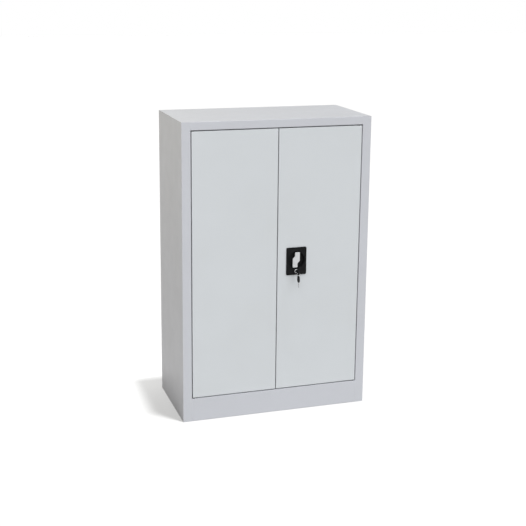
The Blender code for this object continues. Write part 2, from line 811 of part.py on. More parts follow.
def guide_mesh(width, foot, height):
    """A hat-section strap over a flat bar that is as wide as asked."""
    half = width / 2 + GUIDE_PLAY
    rise = ROD_BACK_Y + GUIDE_PLAY - STOP_Y
    path = [(-half - GUIDE_SHEET - foot, 0), (-half, 0), (-half, rise)]
    path += [(-x, y) for x, y in reversed(path)]
    return folded_sheet(path, "Z", -height / 2, height / 2, GUIDE_SHEET)


def door_bolts(door, upper, lower):
    """A sliding bolt at each end of the left door's free edge, in a strap with a window for its knob."""
    knob_travel = BOLT_TRAVEL + BOLT_KNOB_RADIUS * 2 + GUIDE_PLAY * 2
    for name, end_z, way, slide in (
        ("upper", ROD_REST_HIGH, 1, upper),
        ("lower", ROD_REST_LOW, -1, lower),
    ):
        middle_z = end_z - way * BOLT_LENGTH / 2
        spot = (BOLT_X, ROD_FRONT_Y + ROD_THICKNESS / 2, middle_z)
        bolt = add_part(
            name + "_bolt", block((BOLT_WIDTH, ROD_THICKNESS, BOLT_LENGTH)), "zinc_steel", spot,
            carrier=slide,
        )
        stem = BOLT_KNOB_LENGTH + ROD_THICKNESS / 2
        boolean(
            bolt,
            rod_of(BOLT_KNOB_RADIUS, stem),
            (BOLT_X, spot[1] + stem / 2, middle_z - way * BOLT_TRAVEL / 2),
            FACING_FRONT,
            "UNION",
        )
        strap = add_part(
            "bolt_bracket_" + name,
            guide_mesh(BOLT_WIDTH, BOLT_FOOT, BRACKET_LENGTH),
            "zinc_steel",
            (BOLT_X, STOP_Y, middle_z),
            carrier=door,
        )
        boolean(
            strap,
            block((BOLT_KNOB_RADIUS * 2 + GUIDE_PLAY * 2, GUIDE_SHEET + OVERRUN, knob_travel)),
            (BOLT_X, ROD_BACK_Y + GUIDE_PLAY + GUIDE_SHEET / 2, middle_z),
        )


def lock_plate(door):
    """Black plate on the door's face, in one piece with the round cup that the handle turns in."""
    outline = rectangle(PLATE_WIDTH, PLATE_HEIGHT, PLATE_CORNER)
    part = add_part(
        "lock_plate",
        plate(outline, PLATE_PROUD, PLATE_EDGE),
        "black_plastic",
        (LOCK_X, PLATE_FRONT_Y + PLATE_PROUD / 2, PLATE_Z),
        FACING_FRONT,
        door,
    )
    cup_front = PLATE_FRONT_Y + PLATE_PROUD / 2
    drill_y(part, RECESS_RADIUS + RECESS_WALL, cup_front, CUP_BACK_Y, HANDLE_Z, ROUND_SIDES, "UNION")
    drill_y(part, RECESS_RADIUS, PLATE_FRONT_Y - OVERRUN, RECESS_FLOOR_Y, HANDLE_Z, ROUND_SIDES)
    drill_y(part, SPINDLE_HOLE, RECESS_FLOOR_Y - OVERRUN, CUP_BACK_Y + OVERRUN, HANDLE_Z)
    drill_y(part, CYLINDER_RADIUS + FIT, PLATE_FRONT_Y - OVERRUN, FRONT_Y + OVERRUN, CYLINDER_Z)


def drill_y(obj, radius, front, back, z, sides=SMALL_SIDES, operation="DIFFERENCE"):
    """A round hole, or a round boss, along Y at the lock's middle."""
    spot = (LOCK_X, (front + back) / 2, z)
    boolean(obj, rod_of(radius, back - front, sides), spot, FACING_FRONT, operation)


def cut_door_for_lock(leaf):
    """The two round holes in the right door's face."""
    behind = FRONT_Y + SHEET + OVERRUN
    drill_y(leaf, RECESS_RADIUS + RECESS_WALL + FIT, FRONT_Y - OVERRUN, behind, HANDLE_Z, ROUND_SIDES)
    drill_y(leaf, CYLINDER_RADIUS + FIT, FRONT_Y - OVERRUN, behind, CYLINDER_Z)


def lock_case(door):
    """Steel box behind the plate that the spindle and the cylinder pass through."""
    size, middle = between(
        (LOCK_X - CASE_WIDTH / 2, FRONT_Y + SHEET + FIT, PLATE_Z - CASE_BELOW),
        (LOCK_X + CASE_WIDTH / 2, CASE_BACK_Y, PLATE_Z + CASE_ABOVE),
    )
    case = add_part(
        "lock_case", tray(size, (0, -1, 0), 0, CASE_SHEET, CASE_SHEET * 2), "zinc_steel", middle,
        carrier=door,
    )
    inside = CASE_BACK_Y - CASE_SHEET - OVERRUN
    drill_y(case, SPINDLE_HOLE, inside, CASE_BACK_Y + OVERRUN, HANDLE_Z)
    drill_y(case, CYLINDER_RADIUS + FIT, inside, CASE_BACK_Y + OVERRUN, CYLINDER_Z)


def handle_outline():
    """The stepped grip: the upper half is set to the right of the lower half, with slanted steps between."""
    outer = (HANDLE_WIDTH + HANDLE_OFFSET) / 2
    inner = (HANDLE_WIDTH - HANDLE_OFFSET) / 2
    end = HANDLE_LENGTH / 2
    near = HANDLE_WAIST / 2
    far = near + HANDLE_STEP
    half = [(-inner, end), (outer, end), (outer, -near), (inner, -far)]
    return rounded_outline(half + [(-x, -z) for x, z in half], HANDLE_CORNER)


def handle(turn):
    """Chrome grip with its hub, socketed on a square spindle."""
    front = PLATE_FRONT_Y + HANDLE_SINK
    back = front + HANDLE_THICKNESS
    hub_back = RECESS_FLOOR_Y - FIT
    grip = add_part(
        "handle",
        plate(handle_outline(), HANDLE_THICKNESS, HANDLE_EDGE),
        "chrome",
        (LOCK_X, (front + back) / 2, HANDLE_Z),
        FACING_FRONT,
        turn,
    )
    drill_y(grip, HUB_RADIUS, back - HANDLE_THICKNESS / 2, hub_back, HANDLE_Z, ROUND_SIDES, "UNION")
    socket = SPINDLE_SIDE + FIT * 2
    boolean(
        grip,
        block((socket, HUB_SOCKET * 2, socket)),
        (LOCK_X, hub_back, HANDLE_Z),
    )
    size, middle = between(
        (LOCK_X - SPINDLE_SIDE / 2, hub_back - HUB_SOCKET + FIT, HANDLE_Z - SPINDLE_SIDE / 2),
        (LOCK_X + SPINDLE_SIDE / 2, CRANK_BACK_Y + SPINDLE_TAIL, HANDLE_Z + SPINDLE_SIDE / 2),
    )
    add_part("spindle", block(size), "zinc_steel", middle, carrier=turn)


def drive_crank(turn):
    """Rhombic crank on the spindle with a pin at each end, one for each rod."""
    half = CRANK_RADIUS + CRANK_HALF_WIDTH
    long = rectangle(half * 2, CRANK_HALF_WIDTH * 2, CRANK_HALF_WIDTH - FIT)
    socket = SPINDLE_SIDE / 2 + FIT
    hole = [(-socket, -socket), (-socket, socket), (socket, socket), (socket, -socket)]
    crank = add_part(
        "drive_crank",
        plate(spun(long, CRANK_REST), CRANK_PLATE, holes=[hole]),
        "zinc_steel",
        (LOCK_X, CRANK_BACK_Y - CRANK_PLATE / 2, HANDLE_Z),
        FACING_FRONT,
        turn,
    )
    front = CRANK_BACK_Y - CRANK_PLATE / 2
    back = ROD_BACK_Y + CRANK_PIN_TIP
    for side in (-1, 1):
        spot = (LOCK_X + side * PIN_OFFSET, (front + back) / 2, HANDLE_Z + side * PIN_OFFSET)
        boolean(crank, rod_of(CRANK_PIN_RADIUS, back - front), spot, FACING_FRONT, "UNION")


def locking_rods(door, upper, lower):
    """Flat rods, each with a slotted head on a crank pin and a strap round it, and the lower rod's lug."""
    strap = guide_mesh(ROD_WIDTH, GUIDE_FOOT, GUIDE_HEIGHT)
    for name, side, end_z, slide in (
        ("upper", -1, ROD_REST_HIGH, upper),
        ("lower", 1, ROD_REST_LOW, lower),
    ):
        x = LOCK_X + side * ROD_OFFSET
        pin_z = HANDLE_Z + side * PIN_OFFSET
        reach = end_z - pin_z
        away = math.copysign(ROD_HEAD_HALF, reach)
        outline = rounded_outline(
            [
                (-ROD_HEAD_WIDTH / 2, -away),
                (ROD_HEAD_WIDTH / 2, -away),
                (ROD_HEAD_WIDTH / 2, away),
                (ROD_WIDTH / 2, away * 2),
                (ROD_WIDTH / 2, reach),
                (-ROD_WIDTH / 2, reach),
                (-ROD_WIDTH / 2, away * 2),
                (-ROD_HEAD_WIDTH / 2, away),
            ],
            ROD_CORNER,
        )
        slot = rectangle(YOKE_HALF_WIDTH * 2, YOKE_HALF_HEIGHT * 2, YOKE_HALF_HEIGHT - FIT)
        add_part(
            name + "_rod",
            plate(outline, ROD_THICKNESS, holes=[slot]),
            "zinc_steel",
            (x, ROD_FRONT_Y + ROD_THICKNESS / 2, pin_z),
            FACING_FRONT,
            slide,
        )
        lip_z = DOOR_HIGH - DOOR_LIP if side < 0 else DOOR_LOW + DOOR_LIP
        guide_z = lip_z - side * (GUIDE_END_GAP + GUIDE_HEIGHT / 2)
        add_part(
            "rod_guide_" + name, strap, "zinc_steel", (x, STOP_Y, guide_z), carrier=door
        )
    lug_x = LOCK_X + LUG_INNER
    lug_z = CYLINDER_Z + LUG_ABOVE
    size, middle = between(
        (lug_x, CRANK_FRONT_Y, lug_z),
        (lug_x + LUG_WIDTH, ROD_FRONT_Y - FIT, lug_z + LUG_HEIGHT),
    )
    add_part("rod_lug", block(size), "zinc_steel", middle, carrier=lower)


def cylinder_lock(door, turn):
    """Flanged housing, its nut behind the case, and the plug with its keyway and tongue."""
    bore = PLUG_RADIUS + FIT
    tail = CASE_BACK_Y + CYLINDER_TAIL
    flange_back = FLANGE_FRONT_Y + CYLINDER_FLANGE
    housing = [
        (CYLINDER_FLANGE_RADIUS - PIN_CHAMFER, -FLANGE_FRONT_Y),
        (CYLINDER_FLANGE_RADIUS, -FLANGE_FRONT_Y - PIN_CHAMFER),
        (CYLINDER_FLANGE_RADIUS, -flange_back),
        (CYLINDER_RADIUS, -flange_back),
        (CYLINDER_RADIUS, -tail),
        (bore, -tail),
        (bore, -FLANGE_FRONT_Y),
    ]
    spot = (LOCK_X, 0, CYLINDER_Z)
    add_part(
        "cylinder_housing", turned(housing, True, ROUND_SIDES), "chrome", spot, FACING_FRONT, door
    )
    nut_radius = NUT_ACROSS_FLATS / math.sqrt(3)
    nut = plate(
        circle(nut_radius, sides=6), NUT_THICKNESS, holes=[circle(CYLINDER_RADIUS + FIT)]
    )
    nut_y = CASE_BACK_Y + FIT + NUT_THICKNESS / 2
    add_part("cylinder_nut", nut, "zinc_steel", (LOCK_X, nut_y, CYLINDER_Z), FACING_FRONT, door)
    shoulder = tail + FIT
    plug_profile = [
        (0, -PLUG_FACE_Y),
        (PLUG_RADIUS, -PLUG_FACE_Y),
        (PLUG_RADIUS, -shoulder),
        (PLUG_STUB_RADIUS, -shoulder),
        (PLUG_STUB_RADIUS, -CRANK_BACK_Y - SPINDLE_TAIL),
        (0, -CRANK_BACK_Y - SPINDLE_TAIL),
    ]
    plug = add_part("lock_plug", turned(plug_profile), "chrome", spot, FACING_FRONT, turn)
    size, middle = between(
        (-BLADE_THICKNESS / 2 - FIT, PLUG_FACE_Y - OVERRUN, -BLADE_HEIGHT / 2 - FIT),
        (BLADE_THICKNESS / 2 + FIT, PLUG_FACE_Y + BLADE_IN_LOCK + FIT, BLADE_HEIGHT / 2 + FIT),
    )
    boolean(plug, block(size), (LOCK_X, middle[1], CYLINDER_Z))
    hub = rod_of(TONGUE_HUB_RADIUS, TONGUE_THICKNESS)
    tongue_y = CRANK_BACK_Y - TONGUE_THICKNESS / 2
    tongue = add_part(
        "lock_tongue", hub, "zinc_steel", (LOCK_X, tongue_y, CYLINDER_Z), FACING_FRONT, turn
    )
    arm = block((TONGUE_WIDTH, TONGUE_THICKNESS, TONGUE_REACH))
    boolean(tongue, arm, (LOCK_X, tongue_y, CYLINDER_Z + TONGUE_REACH / 2), operation="UNION")
    drill_y(tongue, PLUG_STUB_RADIUS + FIT, CRANK_FRONT_Y - OVERRUN, CRANK_BACK_Y + OVERRUN, CYLINDER_Z)


def key_meshes():
    """The blade with its cuts, and the moulded head, both measured from the lock's face along +X."""
    half = BLADE_HEIGHT / 2
    pitch = BLADE_IN_LOCK / (len(BITTING_SHARES) + 1)
    cuts = []
    for index, share in enumerate(BITTING_SHARES, 1):
        cuts.append((pitch * index - pitch / 2, half))
        cuts.append((pitch * index, half - share * BLADE_HEIGHT))
    inside = -BLADE_SHOWN - BLADE_IN_HEAD + FIT
    outline = [(inside, -half), (BLADE_IN_LOCK - half, -half), (BLADE_IN_LOCK, 0)]
    outline += [(BLADE_IN_LOCK - pitch / 2, half), *reversed(cuts), (inside, half)]
    blade = plate(outline, BLADE_THICKNESS)
    middle = -BLADE_SHOWN - KEY_HEAD_LENGTH / 2
    head_outline = [
        (x + middle, y) for x, y in rectangle(KEY_HEAD_LENGTH, KEY_HEAD_WIDTH, KEY_HEAD_CORNER)
    ]
    hole = circle(KEY_HOLE_RADIUS, (-HOLE_AT, 0))
    head = scratch(plate(head_outline, KEY_HEAD_THICKNESS, KEY_HEAD_EDGE, [hole]))
    pocket = block((
        (BLADE_IN_HEAD + FIT) * 2, BLADE_HEIGHT + FIT * 2, BLADE_THICKNESS + FIT * 2
    ))
    boolean(head, pocket, (-BLADE_SHOWN, 0, 0))
    return blade, settle(head)


def keys(key, ring, spare):
    """The key in the lock, the ring through its head, and the spare key that hangs on the ring."""
    blade, head = key_meshes()
    spot = (LOCK_X, PLUG_FACE_Y, CYLINDER_Z)
    add_part("key_blade", blade, "key_steel", spot, EDGE_ON, key)
    add_part("key_head", head, "black_plastic", spot, EDGE_ON, key)
    bpy.ops.mesh.primitive_torus_add(
        major_radius=RING_RADIUS,
        minor_radius=RING_WIRE,
        major_segments=ROUND_SIDES,
        minor_segments=WIRE_SIDES,
    )
    made = bpy.context.object
    wire = settle(made)
    add_part("key_ring", wire, "key_steel", (LOCK_X, RING_Y, RING_CENTRE_Z), FACING_FRONT, ring)
    hung = (LOCK_X, RING_Y, SPARE_HOLE_Z - HOLE_AT)
    add_part("spare_key_blade", blade, "key_steel", hung, HANGING_DOWN, spare)
    add_part("spare_key_head", head, "black_plastic", hung, HANGING_DOWN, spare)


def clear_scene():
    for obj in list(bpy.data.objects):
        bpy.data.objects.remove(obj)


def main():
    clear_scene()
    for collection in (parts, cutters):
        bpy.context.scene.collection.children.link(collection)
    cutters.hide_render = True

    side_panels()
    top_panel()
    plinth_panel()
    floor_panel()
    back_panel()
    uprights()
    shelves()
    pivot_pins()

    left_door = pivot("left_door_axis", (-HINGE_X, HINGE_Y, PLATE_Z))
    right_door = pivot("right_door_axis", (HINGE_X, HINGE_Y, PLATE_Z))
    leaves = door_leaves((left_door, right_door))
    bolt_y = ROD_FRONT_Y + ROD_THICKNESS / 2
    upper_bolt = pivot("upper_bolt_slide", (BOLT_X, bolt_y, ROD_REST_HIGH), left_door)
    lower_bolt = pivot("lower_bolt_slide", (BOLT_X, bolt_y, ROD_REST_LOW), left_door)
    door_bolts(left_door, upper_bolt, lower_bolt)

    cut_door_for_lock(leaves[1])
    lock_plate(right_door)
    lock_case(right_door)
    handle_turn = pivot("handle_axis", (LOCK_X, PLATE_FRONT_Y, HANDLE_Z), right_door)
    handle(handle_turn)
    drive_crank(handle_turn)
    upper_rod = pivot("upper_rod_slide", (LOCK_X - ROD_OFFSET, bolt_y, HANDLE_Z), right_door)
    lower_rod = pivot("lower_rod_slide", (LOCK_X + ROD_OFFSET, bolt_y, HANDLE_Z), right_door)
    locking_rods(right_door, upper_rod, lower_rod)
    plug_turn = pivot("plug_axis", (LOCK_X, PLUG_FACE_Y, CYLINDER_Z), right_door)
    cylinder_lock(right_door, plug_turn)
    key = pivot("key_slide", (LOCK_X, PLUG_FACE_Y, CYLINDER_Z), plug_turn)
    ring = pivot("ring_axis", (LOCK_X, RING_Y, RING_TOP_Z), key)
    spare = pivot("spare_key_axis", (LOCK_X, RING_Y, RING_LOW_Z), ring)
    keys(key, ring, spare)


main()
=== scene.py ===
"""Looks for the two-door metal storage cabinet.

The packed solids get their finishes, fine pieces are added to them, and a studio and a camera are
set up round them. All sizes are in metres.
"""

import json
import math

import bmesh
import bpy
from mathutils import Matrix, Vector


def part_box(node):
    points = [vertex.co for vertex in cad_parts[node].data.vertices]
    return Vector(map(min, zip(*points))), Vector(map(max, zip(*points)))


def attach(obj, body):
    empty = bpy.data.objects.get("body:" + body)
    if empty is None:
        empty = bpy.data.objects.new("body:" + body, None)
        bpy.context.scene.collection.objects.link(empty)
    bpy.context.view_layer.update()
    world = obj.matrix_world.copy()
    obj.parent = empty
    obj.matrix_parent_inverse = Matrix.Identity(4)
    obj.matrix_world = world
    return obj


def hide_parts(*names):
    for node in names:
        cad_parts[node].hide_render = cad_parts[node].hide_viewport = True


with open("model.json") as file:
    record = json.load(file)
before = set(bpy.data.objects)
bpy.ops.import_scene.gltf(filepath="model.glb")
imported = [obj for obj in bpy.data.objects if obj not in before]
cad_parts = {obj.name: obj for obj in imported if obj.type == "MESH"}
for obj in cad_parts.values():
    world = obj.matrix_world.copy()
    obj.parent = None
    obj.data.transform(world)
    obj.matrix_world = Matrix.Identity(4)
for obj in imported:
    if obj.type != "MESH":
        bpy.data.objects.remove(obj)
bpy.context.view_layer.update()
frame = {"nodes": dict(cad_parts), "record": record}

bl_info = {
    "name": "Metal storage cabinet",
    "version": (1, 0, 0),
    "blender": (4, 5, 0),
    "location": "3D View > Sidebar > Cabinet",
    "description": "Finishes and fine pieces for a folded sheet metal cabinet",
    "category": "Object",
}

WHITE = (1, 1, 1)

# Turns that point a piece modelled along Z to a side of the cabinet
QUARTER = math.pi / 2
FACING_FRONT = (QUARTER, 0, 0)
FACING_BACK = (-QUARTER, 0, 0)
FACING_RIGHT = (QUARTER, 0, QUARTER)
FACING_LEFT = (QUARTER, 0, -QUARTER)

# How fine the shapes are
SMOOTH_ANGLE = math.radians(35)  # edges flatter than this are shaded round
RING_SIDES = 72
WIRE_STEPS = 144

# Lock
BAND_MARGIN = 0.0008  # from an edge to the band that follows it
BAND_ROUNDING = 0.6  # of the band's height
RIM_CORNER = 0.0052
HEAD_CORNER = 0.0082
RECESS_RADIUS = 0.0400
BEZEL_RADIUS = 0.0078
BEZEL_FLARE = 1.04
GRIP_THICKNESS = 0.005
GRIP_STEP = 0.011  # how much narrower each end is than the middle
GRIP_WAIST = 0.0055  # half the height of the wide middle
GRIP_SHOULDER = 0.0165  # from the middle to where the ends start
HUB_RADIUS = 0.010
HUB_RIM = 0.0012
HUB_SINK = 0.0006
WIRE_PITCH = 2.08  # rise of one turn of the ring's wire, in wire radii
MERGE_GAP = 0.00001

# Fasteners
STRAP_SHEET = 0.0012
STIFFENER_SHEET = 0.001
GUIDE_RIVET_INSET = 0.0040
BRACKET_RIVET_GAP = 0.0004
BRACKET_RIVET_SCALE = 0.7
RIVET_ROUNDING = 0.8  # of the head's height
SCREW_ROUNDING = 0.45
CASE_SCREW_INSET = 0.009
SLOT_LENGTH, SLOT_WIDTH = 1.15, 0.24  # of the screw's radius
SLOT_DEPTH = 1.1  # of the head's height, half of it above the head
WELD_INSET = 0.0055
WELD_END = 0.03
WELD_PITCH = 0.16
WELD_RIM, WELD_SLOPE = 0.25, 0.15  # of the mark's radius
WELD_DISH = 0.8  # of the rim's height

# Ground welds, from the ends of the plinth and the header
SEAM_END = 0.0025
PLINTH_FOLD = 0.011
HEADER_HEIGHT = 0.0345

# Studio
FLOOR_SPAN = 60
FLOOR_DROP = 0.0004
SUN_HEIGHT = 4
AIM_HEIGHT = 0.7
SENSOR_WIDTH = 36
VIEW_LIMIT = 200


def length(name, description, default):
    """A size that a user may change, in metres."""
    return bpy.props.FloatProperty(
        name=name, description=description, default=default, min=0, unit="LENGTH", precision=5
    )


def colour(name, description, default):
    """A colour that a user may change, linear."""
    return bpy.props.FloatVectorProperty(
        name=name, description=description, default=default, size=3, subtype="COLOR", min=0, max=1
    )


def share(name, description, default):
    """A number from nothing to all."""
    return bpy.props.FloatProperty(
        name=name, description=description, default=default, min=0, max=1, subtype="FACTOR"
    )


def angle(name, description, degrees):
    """An angle that a user may change."""
    return bpy.props.FloatProperty(
        name=name, description=description, default=math.radians(degrees), subtype="ANGLE"
    )


def offset(name, description, default):
    """A distance either way that a user may change."""
    return bpy.props.FloatProperty(
        name=name, description=description, default=default, unit="LENGTH"
    )


def brightness(name, description, default):
    """How strong a lamp is."""
    return bpy.props.FloatProperty(name=name, description=description, default=default, min=0)


class CabinetFinishes(bpy.types.PropertyGroup):
    """Colours and gloss of the cabinet's materials."""

    frame_paint: colour("Frame paint", "Powder coat on the carcass", (0.511, 0.515, 0.547))
    door_paint: colour("Door paint", "Powder coat on the doors", (0.568, 0.584, 0.601))
    inside_paint: colour(
        "Inside paint", "Powder coat on shelves, posts, floor and back", (0.545, 0.550, 0.575)
    )
    paint_roughness: share("Paint roughness", "Roughness of the powder coat", 0.42)
    peel: length("Peel", "Width of the ripples in the powder coat", 0.0026)
    zinc: colour(
        "Zinc plating", "Plated steel of rods, clips, straps and pins", (0.600, 0.615, 0.640)
    )
    chrome: colour("Chrome", "Plating of the handle and the cylinder", (0.640, 0.636, 0.650))
    plastic: colour("Black plastic", "Moulded lock plate and key heads", (0.0080, 0.0080, 0.0084))
    nylon: colour("Nylon", "Door bushes", (0.030, 0.030, 0.032))
    key_steel: colour("Key steel", "Nickel plated keys and ring", (0.620, 0.620, 0.620))
    # Painted shade and reflection: the plug's colour is set dark to stand in for the dark that its
    # face shows
    plug: colour("Plug steel", "Darker steel of the plug that the key turns", (0.060, 0.060, 0.063))


class LockTrim(bpy.types.PropertyGroup):
    """Sizes of the fine pieces on the lock."""

    rim_band: length("Rim width", "Band round the edge of the lock plate", 0.0022)
    rim_rise: length("Rim height", "How far the band stands off the plate", 0.0005)
    lip_band: length("Recess lip width", "Band round the handle's recess", 0.0016)
    grip_edge: length("Grip edge", "Rounding of the grip's edges", 0.0013)
    grip_corner: length("Grip corner", "Rounding of the grip's outline", 0.0026)
    grip_border: length("Grip border", "Border round the grip's sunk face", 0.0009)
    grip_sink: length("Grip sink", "Depth of the grip's sunk face", 0.0003)
    bezel_wire: length("Bezel", "Half the thickness of the ring round the cylinder", 0.0007)
    ring_wire: length("Ring wire", "Half the thickness of the split ring's wire", 0.00042)
    head_band: length("Key head band", "Raised band round the key heads", 0.0018)
    head_rise: length("Key head rise", "How far the band stands off the key heads", 0.0003)


class Fasteners(bpy.types.PropertyGroup):
    """Sizes of rivets, screws and weld marks."""

    rivet: length("Rivet", "Radius of a rivet's head", 0.0022)
    rivet_rise: length("Rivet height", "Height of a rivet's head", 0.0010)
    screw: length("Screw", "Radius of a screw's head", 0.0036)
    screw_rise: length("Screw height", "Height of a screw's head", 0.0020)
    weld: length("Weld mark", "Radius of a spot weld's mark", 0.0030)
    weld_rise: length("Weld rise", "Height of a spot weld's rim", 0.00015)
    seam: length("Seam", "Width of a ground weld", 0.0034)
    seam_depth: length("Seam depth", "Thickness of a ground weld", 0.0008)
    seam_proud: length("Seam height", "How far a ground weld stands off the sheet", 0.00006)


class StudioSetup(bpy.types.PropertyGroup):
    """Where the camera stands, and how bright the lamps are."""

    azimuth: angle("Azimuth", "Camera's turn round the cabinet, from the front", -18.02)
    elevation: angle("Elevation", "Camera's height above the horizon", 13.08)
    roll: angle("Roll", "Camera's turn about its own view", 0.573)
    distance: length("Distance", "Camera to the cabinet's middle", 5.1465)
    side: offset("Side", "Cabinet's place to the right of the frame's middle", -0.0038)
    rise: offset("Rise", "Cabinet's place above the frame's middle", -0.1775)
    lens: bpy.props.FloatProperty(
        name="Lens", description="Focal length", default=73.07, unit="CAMERA"
    )
    shift: bpy.props.FloatProperty(
        name="Shift", description="Lens shift, as a share of the frame", default=-0.08
    )
    ambient: share("Ambient", "Strength of the light from all round", 0.55)
    sheen: share("Sheen", "Strength of the surroundings in reflections", 0.45)
    front: brightness("Front lamp", "Strength of the lamp in front", 2.84)
    shadow: brightness("Floor lamp", "Strength of the lamp that lights the floor", 5.0)
    shadow_fill: brightness("Shadow lamp", "Power of the lamp that thins the shadow", 1.5)
    side_fill: brightness("Side lamp", "Power of the lamp on the left", 8.4)
    back_fill: brightness("Back lamp", "Strength of the lamp behind", 1.00)
    cool: colour("Cool light", "Tint of the lamps in front and behind", (0.905, 0.955, 1.0))
    surround: colour("Surroundings", "Tint of the light from all round", (1.0, 0.970, 0.915))
    warm: colour("Warm light", "Tint of the lamp on the left", (1.0, 0.940, 0.660))
    floor: share("Floor", "Brightness of the floor", 0.30)
    lift: share("Lift", "What the camera sees added to the floor", 0.40)


GROUPS = {
    "cabinet_finishes": CabinetFinishes,
    "cabinet_lock": LockTrim,
    "cabinet_fasteners": Fasteners,
    "cabinet_studio": StudioSetup,
}


# Materials


class Recipe:
    """A procedural material, built up node by node on the object's own coordinates."""

    def __init__(self, name):
        self.material = bpy.data.materials.new(name)
        self.material.use_nodes = True
        self.nodes = self.material.node_tree.nodes
        self.links = self.material.node_tree.links
        self.shader = self.nodes["Principled BSDF"]
        self.place = self.nodes.new("ShaderNodeTexCoord").outputs["Object"]

    def noise(self, size, detail=2.0, stretch=None):
        """Cloudy values with lumps of a size in metres, drawn out along the axes if asked."""
        node = self.nodes.new("ShaderNodeTexNoise")
        node.inputs["Scale"].default_value = 1 / size
        node.inputs["Detail"].default_value = detail
        place = self.place
        if stretch:
            mapping = self.nodes.new("ShaderNodeMapping")
            mapping.inputs["Scale"].default_value = [1 / part for part in stretch]
            self.links.new(place, mapping.inputs["Vector"])
            place = mapping.outputs["Vector"]
        self.links.new(place, node.inputs["Vector"])
        return node.outputs["Fac"]

    def cells(self, size):
        """Flat patches of a size in metres, each with its own value."""
        node = self.nodes.new("ShaderNodeTexVoronoi")
        node.inputs["Scale"].default_value = 1 / size
        self.links.new(self.place, node.inputs["Vector"])
        return node.outputs["Color"]

    def shades(self, factor, *stops):
        """Colours spread over the middle of a factor's range."""
        first, last = 0.32, 0.68
        node = self.nodes.new("ShaderNodeValToRGB")
        ramp = node.color_ramp
        while len(ramp.elements) < len(stops):
            ramp.elements.new(0.5)
        for index, stop in enumerate(stops):
            ramp.elements[index].position = first + (last - first) * index / (len(stops) - 1)
            ramp.elements[index].color = (*stop, 1)
        self.links.new(factor, node.inputs["Fac"])
        return node.outputs["Color"]

    def multiply(self, first, second, amount):
        """One colour multiplied by another, by an amount from none to all."""
        node = self.nodes.new("ShaderNodeMix")
        node.data_type = "RGBA"
        node.blend_type = "MULTIPLY"
        node.inputs["Factor"].default_value = amount
        self.links.new(first, node.inputs["A"])
        self.links.new(second, node.inputs["B"])
        return node.outputs["Result"]

    def spread(self, factor, low, high):
        """A factor's middle range turned into values from low to high."""
        node = self.nodes.new("ShaderNodeMapRange")
        node.inputs["From Min"].default_value = 0.3
        node.inputs["From Max"].default_value = 0.7
        node.inputs["To Min"].default_value = low
        node.inputs["To Max"].default_value = high
        self.links.new(factor, node.inputs["Value"])
        return node.outputs["Result"]

    def bump(self, height, strength, distance, under=None):
        """A relief from a height, laid over an earlier one."""
        node = self.nodes.new("ShaderNodeBump")
        node.inputs["Strength"].default_value = strength
        node.inputs["Distance"].default_value = distance
        self.links.new(height, node.inputs["Height"])
        if under:
            self.links.new(under, node.inputs["Normal"])
        return node.outputs["Normal"]

    def feed(self, **sockets):
        """Links each output to the shader's socket of that name."""
        for name, output in sockets.items():
            self.links.new(output, self.shader.inputs[name.replace("_", " ")])

    def fix(self, **sockets):
        """Sets plain numbers on the shader's own sockets."""
        for name, value in sockets.items():
            self.shader.inputs[name.replace("_", " ")].default_value = value


def tinted(base, amount, cast=WHITE):
    """A colour made lighter or darker, with a cast."""
    return tuple(min(1, part * amount * shift) for part, shift in zip(base, cast))


def powder_coat(name, base):
    """Satin powder coat: cloudy shade, fine ripples, tiny specks and dull and glossy patches."""
    look = bpy.context.scene.cabinet_finishes
    made = Recipe(name)
    cloud = made.noise(size=0.35, detail=3)
    ripple = made.noise(size=look.peel, detail=1.5)
    speck = made.noise(size=0.0006, detail=1)
    shade = made.shades(cloud, tinted(base, 0.985, (1.0, 0.998, 0.994)), base, tinted(base, 1.012))
    fleck = made.shades(speck, (0.955, 0.955, 0.955), WHITE, WHITE)
    patch = made.noise(size=0.06, detail=4)
    rough = made.spread(
        patch, low=look.paint_roughness - 0.05, high=look.paint_roughness + 0.05
    )
    waves = made.bump(ripple, strength=0.10, distance=0.0003)
    made.feed(
        Base_Color=made.multiply(shade, fleck, amount=0.5),
        Roughness=rough,
        Normal=made.bump(speck, strength=0.08, distance=0.00006, under=waves),
    )
    return made.material


def plated_zinc(name, base):
    """Zinc plating: drawn lines, patches of grain and a faint blue and straw cast."""
    made = Recipe(name)
    drawn = made.noise(size=0.0012, detail=3, stretch=(1, 1, 14))
    patch = made.cells(size=0.0030)
    grain = made.shades(drawn, tinted(base, 0.84), base, tinted(base, 1.12))
    stain = made.noise(size=0.02, detail=3)
    cast = made.shades(stain, (0.90, 0.95, 1.0), WHITE, (1.0, 0.975, 0.91))
    spangle = made.shades(patch, (0.90, 0.90, 0.90), WHITE)
    made.feed(
        Base_Color=made.multiply(made.multiply(grain, cast, amount=0.8), spangle, amount=0.5),
        Roughness=made.spread(made.noise(size=0.004, detail=3), low=0.27, high=0.42),
        Normal=made.bump(drawn, strength=0.08, distance=0.0001),
    )
    made.fix(Metallic=1.0)
    return made.material


def satin_chrome(name, base):
    """Satin chrome plating with faint handling marks."""
    made = Recipe(name)
    wipe = made.noise(size=0.0016, detail=3, stretch=(6, 1, 1))
    cloud = made.noise(size=0.012, detail=2)
    made.feed(
        Base_Color=made.shades(cloud, tinted(base, 0.95), base, tinted(base, 1.04)),
        Roughness=made.spread(wipe, low=0.28, high=0.40),
        Normal=made.bump(wipe, strength=0.04, distance=0.00005),
    )
    made.fix(Metallic=0.30)
    return made.material


def moulded_plastic(name, base, low, high, grain, gloss):
    """Moulded plastic with a fine grained skin, its roughness from low to high."""
    made = Recipe(name)
    skin = made.noise(size=grain, detail=2)
    cloud = made.noise(size=0.02, detail=3)
    made.feed(
        Base_Color=made.shades(cloud, tinted(base, 0.85), base, tinted(base, 1.25)),
        Roughness=made.spread(skin, low=low, high=high),
        Normal=made.bump(skin, strength=0.22, distance=grain * 0.18),
    )
    made.fix(Specular_IOR_Level=gloss)
    return made.material


